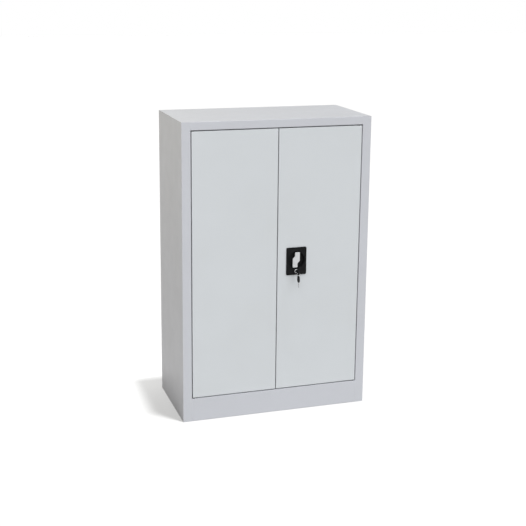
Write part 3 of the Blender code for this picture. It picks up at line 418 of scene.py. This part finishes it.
def nickel(name, base):
    """Nickel plated key steel with polishing lines."""
    made = Recipe(name)
    line = made.noise(size=0.0005, detail=3, stretch=(1, 9, 9))
    made.feed(
        Base_Color=made.shades(line, tinted(base, 0.88), base, tinted(base, 1.10)),
        Roughness=made.spread(line, low=0.20, high=0.34),
        Normal=made.bump(line, strength=0.06, distance=0.00004),
    )
    made.fix(Metallic=1.0)
    return made.material


def finish_of(slot):
    """The finish for a slot of the record, made once and named apart from the slot."""
    look = bpy.context.scene.cabinet_finishes
    name = slot + "_finish"
    if name in bpy.data.materials:
        return bpy.data.materials[name]
    if slot in ("frame_paint", "door_paint", "inside_paint"):
        return powder_coat(name, getattr(look, slot))
    if slot == "zinc_steel":
        return plated_zinc(name, look.zinc)
    if slot == "chrome":
        return satin_chrome(name, look.chrome)
    if slot == "key_steel":
        return nickel(name, look.key_steel)
    if slot == "nylon":
        return moulded_plastic(name, look.nylon, low=0.42, high=0.55, grain=0.0012, gloss=0.35)
    if slot == "black_plastic":
        return moulded_plastic(name, look.plastic, low=0.46, high=0.60, grain=0.0007, gloss=0.12)
    raise KeyError("no finish for the slot " + slot)


def dress(*slots):
    """Gives the CAD nodes of these slots their finish."""
    for entry in frame["record"]["subparts"]:
        if entry["material_slot"] in slots:
            node = frame["nodes"][entry["node"]]
            material = finish_of(entry["material_slot"])
            for place in node.material_slots:
                place.material = material


def paint_plug_shade():
    """Colours the plug that the key turns dark: painted shade and reflection in place of the dark
    that its face shows.
    """
    material = nickel("plug_finish", bpy.context.scene.cabinet_finishes.plug)
    for place in frame["nodes"]["lock_plug"].material_slots:
        place.material = material


# Modelling, as by hand


def deselect():
    """Leaves nothing selected."""
    bpy.ops.object.select_all(action="DESELECT")


def newest(name):
    """The primitive that was just added, named."""
    obj = bpy.context.object
    obj.name = name
    obj.data.name = name
    return obj


def only(obj):
    """Makes one object the selected and the active one."""
    deselect()
    obj.select_set(True)
    bpy.context.view_layer.objects.active = obj


def settle(obj):
    """Puts an object's place, turn and scale into its mesh."""
    only(obj)
    bpy.ops.object.transform_apply(location=True, rotation=True, scale=True)
    return obj


def pose_piece(obj, spot=(0, 0, 0), turn=(0, 0, 0)):
    """Turns and moves a finished shape to its place."""
    obj.rotation_euler = turn
    obj.location = spot
    return settle(obj)


def open_mesh(obj):
    """Starts editing with nothing selected, faces first."""
    only(obj)
    bpy.ops.object.mode_set(mode="EDIT")
    bpy.ops.mesh.select_mode(type="FACE")
    bpy.ops.mesh.select_all(action="DESELECT")


def close_mesh():
    """Ends editing."""
    bpy.ops.object.mode_set(mode="OBJECT")


def pick(obj, kind, test):
    """Selects the faces, edges or corners that pass a test."""
    bpy.ops.mesh.select_mode(type={"faces": "FACE", "edges": "EDGE", "verts": "VERT"}[kind])
    bpy.ops.mesh.select_all(action="DESELECT")
    work = bmesh.from_edit_mesh(obj.data)
    work.normal_update()
    for item in getattr(work, kind):
        item.select_set(bool(test(item)))
    work.select_flush_mode()
    bmesh.update_edit_mesh(obj.data)


def outwards():
    """Points every face outwards."""
    bpy.ops.mesh.select_all(action="SELECT")
    bpy.ops.mesh.normals_make_consistent(inside=False)


def apply_step(obj, kind, **settings):
    """Adds a modifier with its settings and applies it."""
    only(obj)
    step = obj.modifiers.new(kind.title(), kind)
    for name, value in settings.items():
        setattr(step, name, value)
    bpy.ops.object.modifier_apply(modifier=step.name)
    return obj


def soften(obj, width, segments):
    """Rounds the sharp edges."""
    return apply_step(
        obj, "BEVEL", width=width, segments=segments, limit_method="ANGLE",
        angle_limit=math.radians(40),
    )


def join(pieces, name):
    """Several objects made one."""
    deselect()
    for obj in pieces:
        obj.select_set(True)
    bpy.context.view_layer.objects.active = pieces[0]
    if len(pieces) > 1:
        bpy.ops.object.join()
    return newest(name)


def copies(pattern, name, places):
    """One piece made of a pattern set at each place and turn, the pattern itself removed."""
    made = []
    for spot, turn in places:
        obj = pattern.copy()
        obj.data = pattern.data.copy()
        bpy.context.scene.collection.objects.link(obj)
        made.append(pose_piece(obj, spot, turn))
    bpy.data.objects.remove(pattern)
    return join(made, name)


def hand_over(obj, body, slot, material=None):
    """Shades a piece, gives it its finish and lets it ride on a body."""
    only(obj)
    bpy.ops.object.shade_smooth_by_angle(angle=SMOOTH_ANGLE)
    obj.data.materials.clear()
    obj.data.materials.append(material or finish_of(slot))
    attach(obj, body)
    deselect()


def rounded_panel(name, width, height, corner):
    """A flat panel with round corners, in X and Y."""
    deselect()
    bpy.ops.mesh.primitive_plane_add(size=1)
    obj = newest(name)
    obj.scale = (width, height, 1)
    settle(obj)
    open_mesh(obj)
    pick(obj, "verts", lambda corner_point: True)
    bpy.ops.mesh.bevel(offset=corner, segments=8, affect="VERTICES")
    close_mesh()
    return obj


def raised_band(obj, band, rise):
    """Leaves only a band round a flat panel's edge, as high as asked, its top edges round."""
    open_mesh(obj)
    pick(obj, "faces", lambda face: True)
    bpy.ops.mesh.inset(thickness=band)
    bpy.ops.mesh.delete(type="FACE")
    pick(obj, "faces", lambda face: True)
    bpy.ops.mesh.extrude_region_move(TRANSFORM_OT_translate={"value": (0, 0, rise)})
    outwards()
    pick(obj, "edges", lambda edge: (
        min(corner.co.z for corner in edge.verts) > rise * 0.99
        and any(abs(face.normal.z) < 0.5 for face in edge.link_faces)
    ))
    bpy.ops.mesh.bevel(offset=rise * BAND_ROUNDING, segments=3, affect="EDGES")
    close_mesh()
    return obj


def ring_band(name, radius, band, rise):
    """A raised band round a circle."""
    deselect()
    bpy.ops.mesh.primitive_circle_add(
        vertices=RING_SIDES, radius=radius + band, fill_type="NGON"
    )
    return raised_band(newest(name), band, rise)


def box_of(node):
    """A CAD node's lowest and highest corners and its middle."""
    low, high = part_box(node)
    return low, high, (low + high) / 2


# Fine pieces on the lock


def plate_trim():
    """Glossy rim round the black plate and lip round its recess."""
    sizes = bpy.context.scene.cabinet_lock
    low, high, middle = box_of("lock_plate")
    width, height = high.x - low.x - 2 * BAND_MARGIN, high.z - low.z - 2 * BAND_MARGIN
    rim = rounded_panel("lock_plate_rim", width, height, RIM_CORNER)
    raised_band(rim, sizes.rim_band, sizes.rim_rise)
    pose_piece(rim, (middle.x, low.y, middle.z), FACING_FRONT)
    black = bpy.context.scene.cabinet_finishes.plastic
    gloss = moulded_plastic("black_gloss", black, low=0.24, high=0.34, grain=0.0015, gloss=0.06)
    hand_over(rim, "right_door", "black_plastic", gloss)
    _, _, handle = box_of("handle")
    lip = ring_band("recess_lip", RECESS_RADIUS, sizes.lip_band, sizes.rim_rise)
    pose_piece(lip, (handle.x, low.y, handle.z), FACING_FRONT)
    hand_over(lip, "right_door", "black_plastic", gloss)


def on_rim(edge, way):
    """Whether an edge parts a flat face that looks along Y from the sides."""
    leans = sorted(abs(face.normal.y) for face in edge.link_faces)
    flat = any(face.normal.y * way > 0.99 for face in edge.link_faces)
    return flat and leans[0] < 0.1


def handle_grip():
    """The stepped chrome grip with soft edges and a sunk face, on its round hub."""
    sizes = bpy.context.scene.cabinet_lock
    low, high, middle = box_of("handle")
    half_width = (high.x - low.x) / 2
    narrow = half_width - GRIP_STEP
    end = (high.z - low.z) / 2
    stations = (  # height, left edge and right edge, from the top down
        (end, -narrow, half_width),
        (GRIP_SHOULDER, -narrow, half_width),
        (GRIP_WAIST, -half_width, half_width),
        (-GRIP_WAIST, -half_width, half_width),
        (-GRIP_SHOULDER, -half_width, narrow),
        (-end, -half_width, narrow),
    )
    deselect()
    bpy.ops.mesh.primitive_plane_add(size=1)
    grip = newest("handle_grip")
    open_mesh(grip)
    pick(grip, "faces", lambda face: True)
    previous = end
    for index, (height, left, right) in enumerate(stations):
        if index:
            bpy.ops.mesh.extrude_region_move(
                TRANSFORM_OT_translate={"value": (0, 0, height - previous)}
            )
        work = bmesh.from_edit_mesh(grip.data)
        for corner in [point for point in work.verts if point.select]:
            corner.co.x = right if corner.co.x > (left + right) / 2 - narrow / 2 else left
            corner.co.y = math.copysign(GRIP_THICKNESS / 2, corner.co.y)
            corner.co.z = height
        bmesh.update_edit_mesh(grip.data)
        previous = height
    outwards()
    bpy.ops.mesh.dissolve_limited(angle_limit=math.radians(1))
    pick(grip, "edges", lambda edge: (
        abs(edge.verts[0].co.y - edge.verts[1].co.y) > GRIP_THICKNESS / 2
        and edge.calc_face_angle(0) > math.radians(20)
    ))
    bpy.ops.mesh.bevel(offset=sizes.grip_corner, segments=5, affect="EDGES")
    for way, width in ((-1, sizes.grip_edge), (1, sizes.grip_edge / 2)):
        pick(grip, "edges", lambda edge: on_rim(edge, way))
        bpy.ops.mesh.bevel(offset=width, segments=4, affect="EDGES")
    pick(grip, "faces", lambda face: face.normal.y < -0.99)
    bpy.ops.mesh.inset(thickness=sizes.grip_border, use_boundary=True)
    bpy.ops.mesh.inset(thickness=sizes.grip_sink, depth=-sizes.grip_sink)
    close_mesh()
    pose_piece(grip, (middle.x, low.y + GRIP_THICKNESS / 2, middle.z))
    deselect()
    hub_depth = high.y - low.y - GRIP_THICKNESS
    bpy.ops.mesh.primitive_cylinder_add(vertices=48, radius=HUB_RADIUS, depth=hub_depth)
    hub = newest("hub")
    open_mesh(hub)
    pick(hub, "faces", lambda face: face.normal.z < -0.9)
    bpy.ops.mesh.inset(thickness=HUB_RIM)
    bpy.ops.mesh.extrude_region_move(TRANSFORM_OT_translate={"value": (0, 0, HUB_SINK)})
    close_mesh()
    pose_piece(hub, (middle.x, high.y - hub_depth / 2, middle.z), FACING_FRONT)
    grip = join([grip, hub], "handle_grip")
    hand_over(grip, "handle", "chrome")
    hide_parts("handle")


def cylinder_bezel():
    """Polished ring round the face of the lock cylinder."""
    sizes = bpy.context.scene.cabinet_lock
    low, _, middle = box_of("cylinder_housing")
    deselect()
    bpy.ops.mesh.primitive_torus_add(
        major_radius=BEZEL_RADIUS, minor_radius=sizes.bezel_wire,
        major_segments=RING_SIDES, minor_segments=14,
    )
    bezel = newest("cylinder_bezel")
    open_mesh(bezel)
    pick(bezel, "verts", lambda corner: Vector(corner.co.xy).length > BEZEL_RADIUS)
    bpy.ops.transform.resize(value=(BEZEL_FLARE, BEZEL_FLARE, 1))
    close_mesh()
    pose_piece(bezel, (middle.x, low.y, middle.z), FACING_FRONT)
    hand_over(bezel, "right_door", "chrome")


def key_head_bands():
    """Raised bands moulded round both faces of each key's head."""
    sizes = bpy.context.scene.cabinet_lock
    for node, body in (("key_head", "key"), ("spare_key_head", "spare_key")):
        low, high, middle = box_of(node)
        width, height = high.y - low.y - 2 * BAND_MARGIN, high.z - low.z - 2 * BAND_MARGIN
        sides = []
        for x, turn in ((low.x, FACING_LEFT), (high.x, FACING_RIGHT)):
            band = rounded_panel(node + "_side", width, height, HEAD_CORNER)
            raised_band(band, sizes.head_band, sizes.head_rise)
            sides.append(pose_piece(band, (x, middle.y, middle.z), turn))
        hand_over(join(sides, node + "_bands"), body, "black_plastic")


def split_ring():
    """The key ring as it is: two turns of wire, one beside the other."""
    sizes = bpy.context.scene.cabinet_lock
    low, high, middle = box_of("key_ring")
    radius = (high.x - low.x) / 2 - sizes.ring_wire * 1.5
    deselect()
    bpy.ops.mesh.primitive_circle_add(
        vertices=10, radius=sizes.ring_wire, fill_type="NOTHING",
        location=(0, 0, -sizes.ring_wire), rotation=(QUARTER, 0, 0),
    )
    ring = newest("split_ring")
    ring.location.x = radius
    settle(ring)
    apply_step(
        ring, "SCREW", axis="Z", angle=math.pi * 4, screw_offset=sizes.ring_wire * WIRE_PITCH,
        steps=WIRE_STEPS, render_steps=WIRE_STEPS, use_merge_vertices=False,
    )
    open_mesh(ring)
    bpy.ops.mesh.select_all(action="SELECT")
    bpy.ops.mesh.remove_doubles(threshold=MERGE_GAP)
    bpy.ops.mesh.fill_holes(sides=0)
    outwards()
    close_mesh()
    pose_piece(ring, middle, FACING_FRONT)
    hand_over(ring, "ring", "key_steel")
    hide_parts("key_ring")


# Fasteners


def round_head(name, sides, radius, rise, rounding):
    """A fastener's head, its back on the surface and its front edge rounded."""
    deselect()
    bpy.ops.mesh.primitive_cylinder_add(
        vertices=sides, radius=radius, depth=rise, location=(0, 0, rise / 2)
    )
    head = settle(newest(name))
    open_mesh(head)
    pick(head, "faces", lambda face: face.normal.z > 0.9)
    bpy.ops.mesh.bevel(offset=rise * rounding, segments=4, affect="EDGES")
    close_mesh()
    return head


def rivet_pattern():
    """A low domed rivet head."""
    sizes = bpy.context.scene.cabinet_fasteners
    return round_head("rivet", 20, sizes.rivet, sizes.rivet_rise, RIVET_ROUNDING)


def screw_pattern():
    """A pan head screw with a cross recess."""
    sizes = bpy.context.scene.cabinet_fasteners
    screw = round_head("screw", 28, sizes.screw, sizes.screw_rise, SCREW_ROUNDING)
    for turn in (0, QUARTER):
        deselect()
        bpy.ops.mesh.primitive_cube_add(size=1, location=(0, 0, sizes.screw_rise))
        blade = newest("driver_slot")
        blade.scale = (
            sizes.screw * SLOT_LENGTH, sizes.screw * SLOT_WIDTH, sizes.screw_rise * SLOT_DEPTH
        )
        blade.rotation_euler = (0, 0, turn)
        settle(blade)
        apply_step(screw, "BOOLEAN", object=blade, operation="DIFFERENCE", solver="EXACT")
        bpy.data.objects.remove(blade)
    return screw


def weld_pattern():
    """The shallow ring that a spot weld leaves in painted sheet."""
    sizes = bpy.context.scene.cabinet_fasteners
    deselect()
    bpy.ops.mesh.primitive_circle_add(vertices=20, radius=sizes.weld, fill_type="NGON")
    weld = newest("weld")
    open_mesh(weld)
    pick(weld, "faces", lambda face: True)
    bpy.ops.mesh.extrude_region_move(TRANSFORM_OT_translate={"value": (0, 0, sizes.weld_rise)})
    bpy.ops.mesh.inset(thickness=sizes.weld * WELD_RIM)
    bpy.ops.mesh.inset(
        thickness=sizes.weld * WELD_SLOPE, depth=-sizes.weld_rise * WELD_DISH
    )
    outwards()
    close_mesh()
    return weld


def strap_rivets():
    """Rivets through the feet of the rod guides and the bolt brackets."""
    reach = bpy.context.scene.cabinet_fasteners.rivet
    for body, names, rows in (
        ("right_door", ("rod_guide_upper", "rod_guide_lower"), (0.5,)),
        ("left_door", ("bolt_bracket_upper", "bolt_bracket_lower"), (0.15, 0.85)),
    ):
        places = []
        for name in names:
            low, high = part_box(name)
            foot = low.y + STRAP_SHEET
            inset = reach + BRACKET_RIVET_GAP if body == "left_door" else GUIDE_RIVET_INSET
            for part in rows:
                z = low.z + (high.z - low.z) * part
                places += [((x, foot, z), FACING_BACK) for x in (low.x + inset, high.x - inset)]
        pattern = rivet_pattern()
        if body == "left_door":
            pattern.scale = (BRACKET_RIVET_SCALE, BRACKET_RIVET_SCALE, 1)
            settle(pattern)
        hand_over(copies(pattern, body + "_strap_rivets", places), body, "zinc_steel")


def case_screws():
    """Screws at the corners of the steel case behind the lock."""
    low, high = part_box("lock_case")
    places = [
        ((x, high.y, z), FACING_BACK)
        for x in (low.x + CASE_SCREW_INSET, high.x - CASE_SCREW_INSET)
        for z in (low.z + CASE_SCREW_INSET, high.z - CASE_SCREW_INSET)
    ]
    hand_over(copies(screw_pattern(), "case_screws", places), "right_door", "zinc_steel")


def row(first, last, pitch):
    """Even steps from first to last, close to a pitch."""
    count = max(1, round((last - first) / pitch))
    return [first + (last - first) * step / count for step in range(count + 1)]


def weld_marks():
    """Spot welds on the stiffeners' feet."""
    for side in ("left", "right"):
        low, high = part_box(side + "_door_stiffener")
        foot = low.y + STIFFENER_SHEET
        places = [
            ((x, foot, z), FACING_BACK)
            for x in (low.x + WELD_INSET, high.x - WELD_INSET)
            for z in row(low.z + WELD_END, high.z - WELD_END, WELD_PITCH)
        ]
        welds = copies(weld_pattern(), side + "_stiffener_welds", places)
        hand_over(welds, side + "_door", "door_paint")


def seam_pattern(tall):
    """A standing strip of ground weld with faired edges."""
    sizes = bpy.context.scene.cabinet_fasteners
    deselect()
    bpy.ops.mesh.primitive_cube_add(size=1)
    seam = newest("seam")
    seam.scale = (sizes.seam, sizes.seam_depth, tall)
    return soften(settle(seam), sizes.seam_proud, 2)


def seam_fillers():
    """Ground and painted welds where the header and the plinth meet the stiles."""
    sizes = bpy.context.scene.cabinet_fasteners
    low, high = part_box("plinth_panel")
    _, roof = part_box("top_panel")
    x = high.x + sizes.seam / 8
    y = low.y + sizes.seam_depth / 2 - sizes.seam_proud
    for name, bottom, top in (
        ("plinth_seams", low.z + SEAM_END, high.z - PLINTH_FOLD),
        ("header_seams", roof.z - HEADER_HEIGHT, roof.z - SEAM_END),
    ):
        places = [((side * x, y, (bottom + top) / 2), (0, 0, 0)) for side in (-1, 1)]
        hand_over(copies(seam_pattern(top - bottom), name, places), "carcass", "frame_paint")


# Stage


def white_surroundings():
    """Even light from all round: white to the camera, pale in reflections, softer as light."""
    setup = bpy.context.scene.cabinet_studio
    world = bpy.data.worlds.new("studio")
    bpy.context.scene.world = world
    world.use_nodes = True
    nodes = world.node_tree.nodes
    links = world.node_tree.links
    path = nodes.new("ShaderNodeLightPath")
    strength = None
    for ray, level in (("Is Camera Ray", 1.0), ("Is Glossy Ray", setup.sheen)):
        part = nodes.new("ShaderNodeMath")
        part.operation = "MULTIPLY_ADD"
        part.inputs[1].default_value = level - setup.ambient
        part.inputs[2].default_value = setup.ambient
        links.new(path.outputs[ray], part.inputs[0])
        if strength:
            links.new(strength, part.inputs[2])
        strength = part.outputs["Value"]
    links.new(strength, nodes["Background"].inputs["Strength"])
    tint = nodes.new("ShaderNodeMix")
    tint.data_type = "RGBA"
    tint.inputs["A"].default_value = (*setup.surround, 1)
    tint.inputs["B"].default_value = (*WHITE, 1)
    links.new(path.outputs["Is Camera Ray"], tint.inputs["Factor"])
    links.new(tint.outputs["Result"], nodes["Background"].inputs["Color"])


def pale_floor():
    """A matt floor that keeps the cabinet's shadow and is white to the camera elsewhere."""
    setup = bpy.context.scene.cabinet_studio
    deselect()
    bpy.ops.mesh.primitive_plane_add(size=FLOOR_SPAN, location=(0, 0, -FLOOR_DROP))
    floor = newest("studio_floor")
    made = Recipe("studio_floor")
    grey = tinted([setup.floor] * 3, 1, (0.995, 1, 1))
    tone = made.noise(size=0.8, detail=2)
    sight = made.nodes.new("ShaderNodeLightPath").outputs["Is Camera Ray"]
    made.feed(Base_Color=made.shades(tone, tinted(grey, 0.995), grey, tinted(grey, 1.005)))
    made.fix(Roughness=0.75, Specular_IOR_Level=0.2)
    seen = made.nodes.new("ShaderNodeMath")
    seen.operation = "MULTIPLY"
    seen.inputs[1].default_value = setup.lift
    made.links.new(sight, seen.inputs[0])
    glow = made.nodes.new("ShaderNodeEmission")
    made.links.new(seen.outputs["Value"], glow.inputs["Strength"])
    both = made.nodes.new("ShaderNodeAddShader")
    made.links.new(made.shader.outputs["BSDF"], both.inputs[0])
    made.links.new(glow.outputs["Emission"], both.inputs[1])
    made.links.new(both.outputs["Shader"], made.nodes["Material Output"].inputs["Surface"])
    floor.data.materials.append(made.material)
    return floor


def outlook(turn, lift):
    """The way from the cabinet to something round it, by its turn from the front and its lift."""
    return Vector((
        math.sin(turn) * math.cos(lift), -math.cos(turn) * math.cos(lift), math.sin(lift)
    ))


def soft_lamp(name, strength, tint, azimuth, elevation, softness):
    """A far lamp that shines from an azimuth and a height, in degrees."""
    deselect()
    bpy.ops.object.light_add(type="SUN", location=(0, 0, SUN_HEIGHT))
    lamp = bpy.context.object
    lamp.name = name
    lamp.data.energy = strength
    lamp.data.color = tint
    lamp.data.angle = math.radians(softness)
    away = outlook(math.radians(azimuth), math.radians(elevation))
    lamp.rotation_euler = away.to_track_quat("Z", "Y").to_euler()
    return lamp


def panel_lamp(name, power, tint, spot, aim, size):
    """A square lamp at a spot, turned to face an aim, that the camera doesn't see."""
    deselect()
    bpy.ops.object.light_add(type="AREA", location=spot)
    lamp = bpy.context.object
    lamp.name = name
    lamp.data.energy = power
    lamp.data.color = tint
    lamp.data.size = size
    lamp.visible_camera = False
    lamp.rotation_euler = (Vector(spot) - Vector(aim)).to_track_quat("Z", "Y").to_euler()
    return lamp


def light_only(lamp, floor, state):
    """Keeps a lamp's light off the floor, or on the floor alone."""
    share_of_light = bpy.data.collections.new(lamp.name + "_reach")
    share_of_light.objects.link(floor)
    share_of_light.collection_objects[0].light_linking.link_state = state
    lamp.light_linking.receiver_collection = share_of_light


def build_stage():
    """Floor, surroundings and lamps. Two lamps light the floor alone, so only one shadow shows."""
    setup = bpy.context.scene.cabinet_studio
    white_surroundings()
    floor = pale_floor()
    lamp = soft_lamp(
        "floor_lamp", setup.shadow, WHITE, azimuth=40, elevation=82.3, softness=3.5
    )
    light_only(lamp, floor, "INCLUDE")
    lamp = panel_lamp(
        "shadow_fill", setup.shadow_fill, WHITE,
        spot=(-0.62, 0.46, 0.45), aim=(-0.62, 0.46, 0), size=0.2,
    )
    light_only(lamp, floor, "INCLUDE")
    lamp = soft_lamp(
        "front_lamp", setup.front, setup.cool, azimuth=8, elevation=52.5, softness=70
    )
    light_only(lamp, floor, "EXCLUDE")
    lamp = panel_lamp(
        "side_lamp", setup.side_fill, setup.warm,
        spot=(-1.7, 0.1, 2.6), aim=(-0.45, 0.1, 1.0), size=1.0,
    )
    light_only(lamp, floor, "EXCLUDE")
    lamp = soft_lamp(
        "back_lamp", setup.back_fill, setup.cool, azimuth=130, elevation=12, softness=40
    )
    light_only(lamp, floor, "EXCLUDE")
    bpy.context.scene.view_settings.view_transform = "Standard"


def build_camera():
    """The camera at the photograph's viewing angle."""
    setup = bpy.context.scene.cabinet_studio
    back = outlook(setup.azimuth, setup.elevation)
    level = Vector((math.cos(setup.azimuth), math.sin(setup.azimuth), 0))
    upright = back.cross(level)
    right = level * math.cos(setup.roll) + upright * math.sin(setup.roll)
    up = upright * math.cos(setup.roll) - level * math.sin(setup.roll)
    low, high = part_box("left_side_panel")
    middle = Vector((0, (low.y + high.y) / 2, AIM_HEIGHT))
    spot = middle - right * setup.side - up * setup.rise + back * setup.distance
    deselect()
    bpy.ops.object.camera_add(location=spot)
    camera = bpy.context.object
    camera.name = "photo_camera"
    camera.matrix_world = Matrix.Translation(spot) @ Matrix((right, up, back)).transposed().to_4x4()
    camera.data.lens = setup.lens
    camera.data.sensor_width = SENSOR_WIDTH
    camera.data.shift_y = setup.shift
    camera.data.clip_end = VIEW_LIMIT
    bpy.context.scene.camera = camera


# Operators


class CABINET_OT_paint_frame(bpy.types.Operator):
    """Powder coats the folded panels of the carcass"""

    bl_idname = "cabinet.paint_frame"
    bl_label = "Paint the carcass"
    bl_options = {"REGISTER", "UNDO"}

    def execute(self, context):
        dress("frame_paint")
        return {"FINISHED"}


class CABINET_OT_paint_doors(bpy.types.Operator):
    """Powder coats both door leaves and their stiffeners"""

    bl_idname = "cabinet.paint_doors"
    bl_label = "Paint the doors"
    bl_options = {"REGISTER", "UNDO"}

    def execute(self, context):
        dress("door_paint")
        return {"FINISHED"}


class CABINET_OT_paint_inside(bpy.types.Operator):
    """Powder coats shelves, posts, floor and back"""

    bl_idname = "cabinet.paint_inside"
    bl_label = "Paint the inside"
    bl_options = {"REGISTER", "UNDO"}

    def execute(self, context):
        dress("inside_paint")
        return {"FINISHED"}


class CABINET_OT_plate_steel(bpy.types.Operator):
    """Zinc plates rods, clips, straps and pins"""

    bl_idname = "cabinet.plate_steel"
    bl_label = "Plate the steel"
    bl_options = {"REGISTER", "UNDO"}

    def execute(self, context):
        dress("zinc_steel")
        return {"FINISHED"}


class CABINET_OT_finish_lock(bpy.types.Operator):
    """Gives the lock its chrome, black plastic and key steel, and the plug its painted shade"""

    bl_idname = "cabinet.finish_lock"
    bl_label = "Finish the lock"
    bl_options = {"REGISTER", "UNDO"}

    def execute(self, context):
        dress("chrome", "black_plastic", "key_steel")
        # Painted shade and reflection: the plug is coloured dark
        paint_plug_shade()
        return {"FINISHED"}


class CABINET_OT_finish_bushes(bpy.types.Operator):
    """Gives the door bushes their nylon"""

    bl_idname = "cabinet.finish_bushes"
    bl_label = "Finish the bushes"
    bl_options = {"REGISTER", "UNDO"}

    def execute(self, context):
        dress("nylon")
        return {"FINISHED"}


class CABINET_OT_plate_trim(bpy.types.Operator):
    """Adds the rim and the recess lip to the lock plate"""

    bl_idname = "cabinet.plate_trim"
    bl_label = "Lock plate trim"
    bl_options = {"REGISTER", "UNDO"}

    def execute(self, context):
        plate_trim()
        return {"FINISHED"}


class CABINET_OT_handle_grip(bpy.types.Operator):
    """Adds the stepped chrome grip"""

    bl_idname = "cabinet.handle_grip"
    bl_label = "Handle grip"
    bl_options = {"REGISTER", "UNDO"}

    def execute(self, context):
        handle_grip()
        return {"FINISHED"}


class CABINET_OT_cylinder_bezel(bpy.types.Operator):
    """Adds the ring round the lock cylinder"""

    bl_idname = "cabinet.cylinder_bezel"
    bl_label = "Cylinder bezel"
    bl_options = {"REGISTER", "UNDO"}

    def execute(self, context):
        cylinder_bezel()
        return {"FINISHED"}


class CABINET_OT_key_head_bands(bpy.types.Operator):
    """Adds the moulded bands on the key heads"""

    bl_idname = "cabinet.key_head_bands"
    bl_label = "Key head bands"
    bl_options = {"REGISTER", "UNDO"}

    def execute(self, context):
        key_head_bands()
        return {"FINISHED"}


class CABINET_OT_split_ring(bpy.types.Operator):
    """Adds the key ring's two turns of wire"""

    bl_idname = "cabinet.split_ring"
    bl_label = "Split ring"
    bl_options = {"REGISTER", "UNDO"}

    def execute(self, context):
        split_ring()
        return {"FINISHED"}


class CABINET_OT_strap_rivets(bpy.types.Operator):
    """Adds the rivets that hold the straps"""

    bl_idname = "cabinet.strap_rivets"
    bl_label = "Strap rivets"
    bl_options = {"REGISTER", "UNDO"}

    def execute(self, context):
        strap_rivets()
        return {"FINISHED"}


class CABINET_OT_case_screws(bpy.types.Operator):
    """Adds the screws of the lock case"""

    bl_idname = "cabinet.case_screws"
    bl_label = "Case screws"
    bl_options = {"REGISTER", "UNDO"}

    def execute(self, context):
        case_screws()
        return {"FINISHED"}


class CABINET_OT_weld_marks(bpy.types.Operator):
    """Adds the spot welds' marks"""

    bl_idname = "cabinet.weld_marks"
    bl_label = "Weld marks"
    bl_options = {"REGISTER", "UNDO"}

    def execute(self, context):
        weld_marks()
        return {"FINISHED"}


class CABINET_OT_seam_fillers(bpy.types.Operator):
    """Adds the ground welds between the stiles, the header and the plinth"""

    bl_idname = "cabinet.seam_fillers"
    bl_label = "Seam fillers"
    bl_options = {"REGISTER", "UNDO"}

    def execute(self, context):
        seam_fillers()
        return {"FINISHED"}


class CABINET_OT_stage(bpy.types.Operator):
    """Adds the floor, the white surroundings and the lamps"""

    bl_idname = "cabinet.stage"
    bl_label = "Studio"
    bl_options = {"REGISTER", "UNDO"}

    def execute(self, context):
        build_stage()
        return {"FINISHED"}


class CABINET_OT_camera(bpy.types.Operator):
    """Adds the camera at the photograph's angle"""

    bl_idname = "cabinet.camera"
    bl_label = "Camera"
    bl_options = {"REGISTER", "UNDO"}

    def execute(self, context):
        build_camera()
        return {"FINISHED"}


STEPS = (
    CABINET_OT_paint_frame,
    CABINET_OT_paint_doors,
    CABINET_OT_paint_inside,
    CABINET_OT_plate_steel,
    CABINET_OT_finish_lock,
    CABINET_OT_finish_bushes,
    CABINET_OT_plate_trim,
    CABINET_OT_handle_grip,
    CABINET_OT_cylinder_bezel,
    CABINET_OT_key_head_bands,
    CABINET_OT_split_ring,
    CABINET_OT_strap_rivets,
    CABINET_OT_case_screws,
    CABINET_OT_weld_marks,
    CABINET_OT_seam_fillers,
    CABINET_OT_stage,
    CABINET_OT_camera,
)


class CABINET_PT_build(bpy.types.Panel):
    """Lists the build's steps and sizes."""

    bl_idname = "CABINET_PT_build"
    bl_label = "Metal storage cabinet"
    bl_space_type = "VIEW_3D"
    bl_region_type = "UI"
    bl_category = "Cabinet"

    def draw(self, context):
        layout = self.layout
        for made in STEPS:
            layout.operator(made.bl_idname)
        for name, group in GROUPS.items():
            box = layout.box()
            box.label(text=group.__doc__)
            for field in group.__annotations__:
                box.prop(getattr(context.scene, name), field)


def register():
    """Adds the settings, the operators and the panel."""
    for group in GROUPS.values():
        bpy.utils.register_class(group)
    for made in STEPS:
        bpy.utils.register_class(made)
    bpy.utils.register_class(CABINET_PT_build)
    for name, group in GROUPS.items():
        setattr(bpy.types.Scene, name, bpy.props.PointerProperty(type=group))


def unregister():
    """Takes away what register() added."""
    for name in GROUPS:
        delattr(bpy.types.Scene, name)
    bpy.utils.unregister_class(CABINET_PT_build)
    for made in reversed(STEPS):
        bpy.utils.unregister_class(made)
    for group in GROUPS.values():
        bpy.utils.unregister_class(group)


def main():
    """Builds everything in order."""
    register()
    for made in STEPS:
        getattr(bpy.ops.cabinet, made.bl_idname.split(".")[1])()


if __name__ == "__main__":
    main()
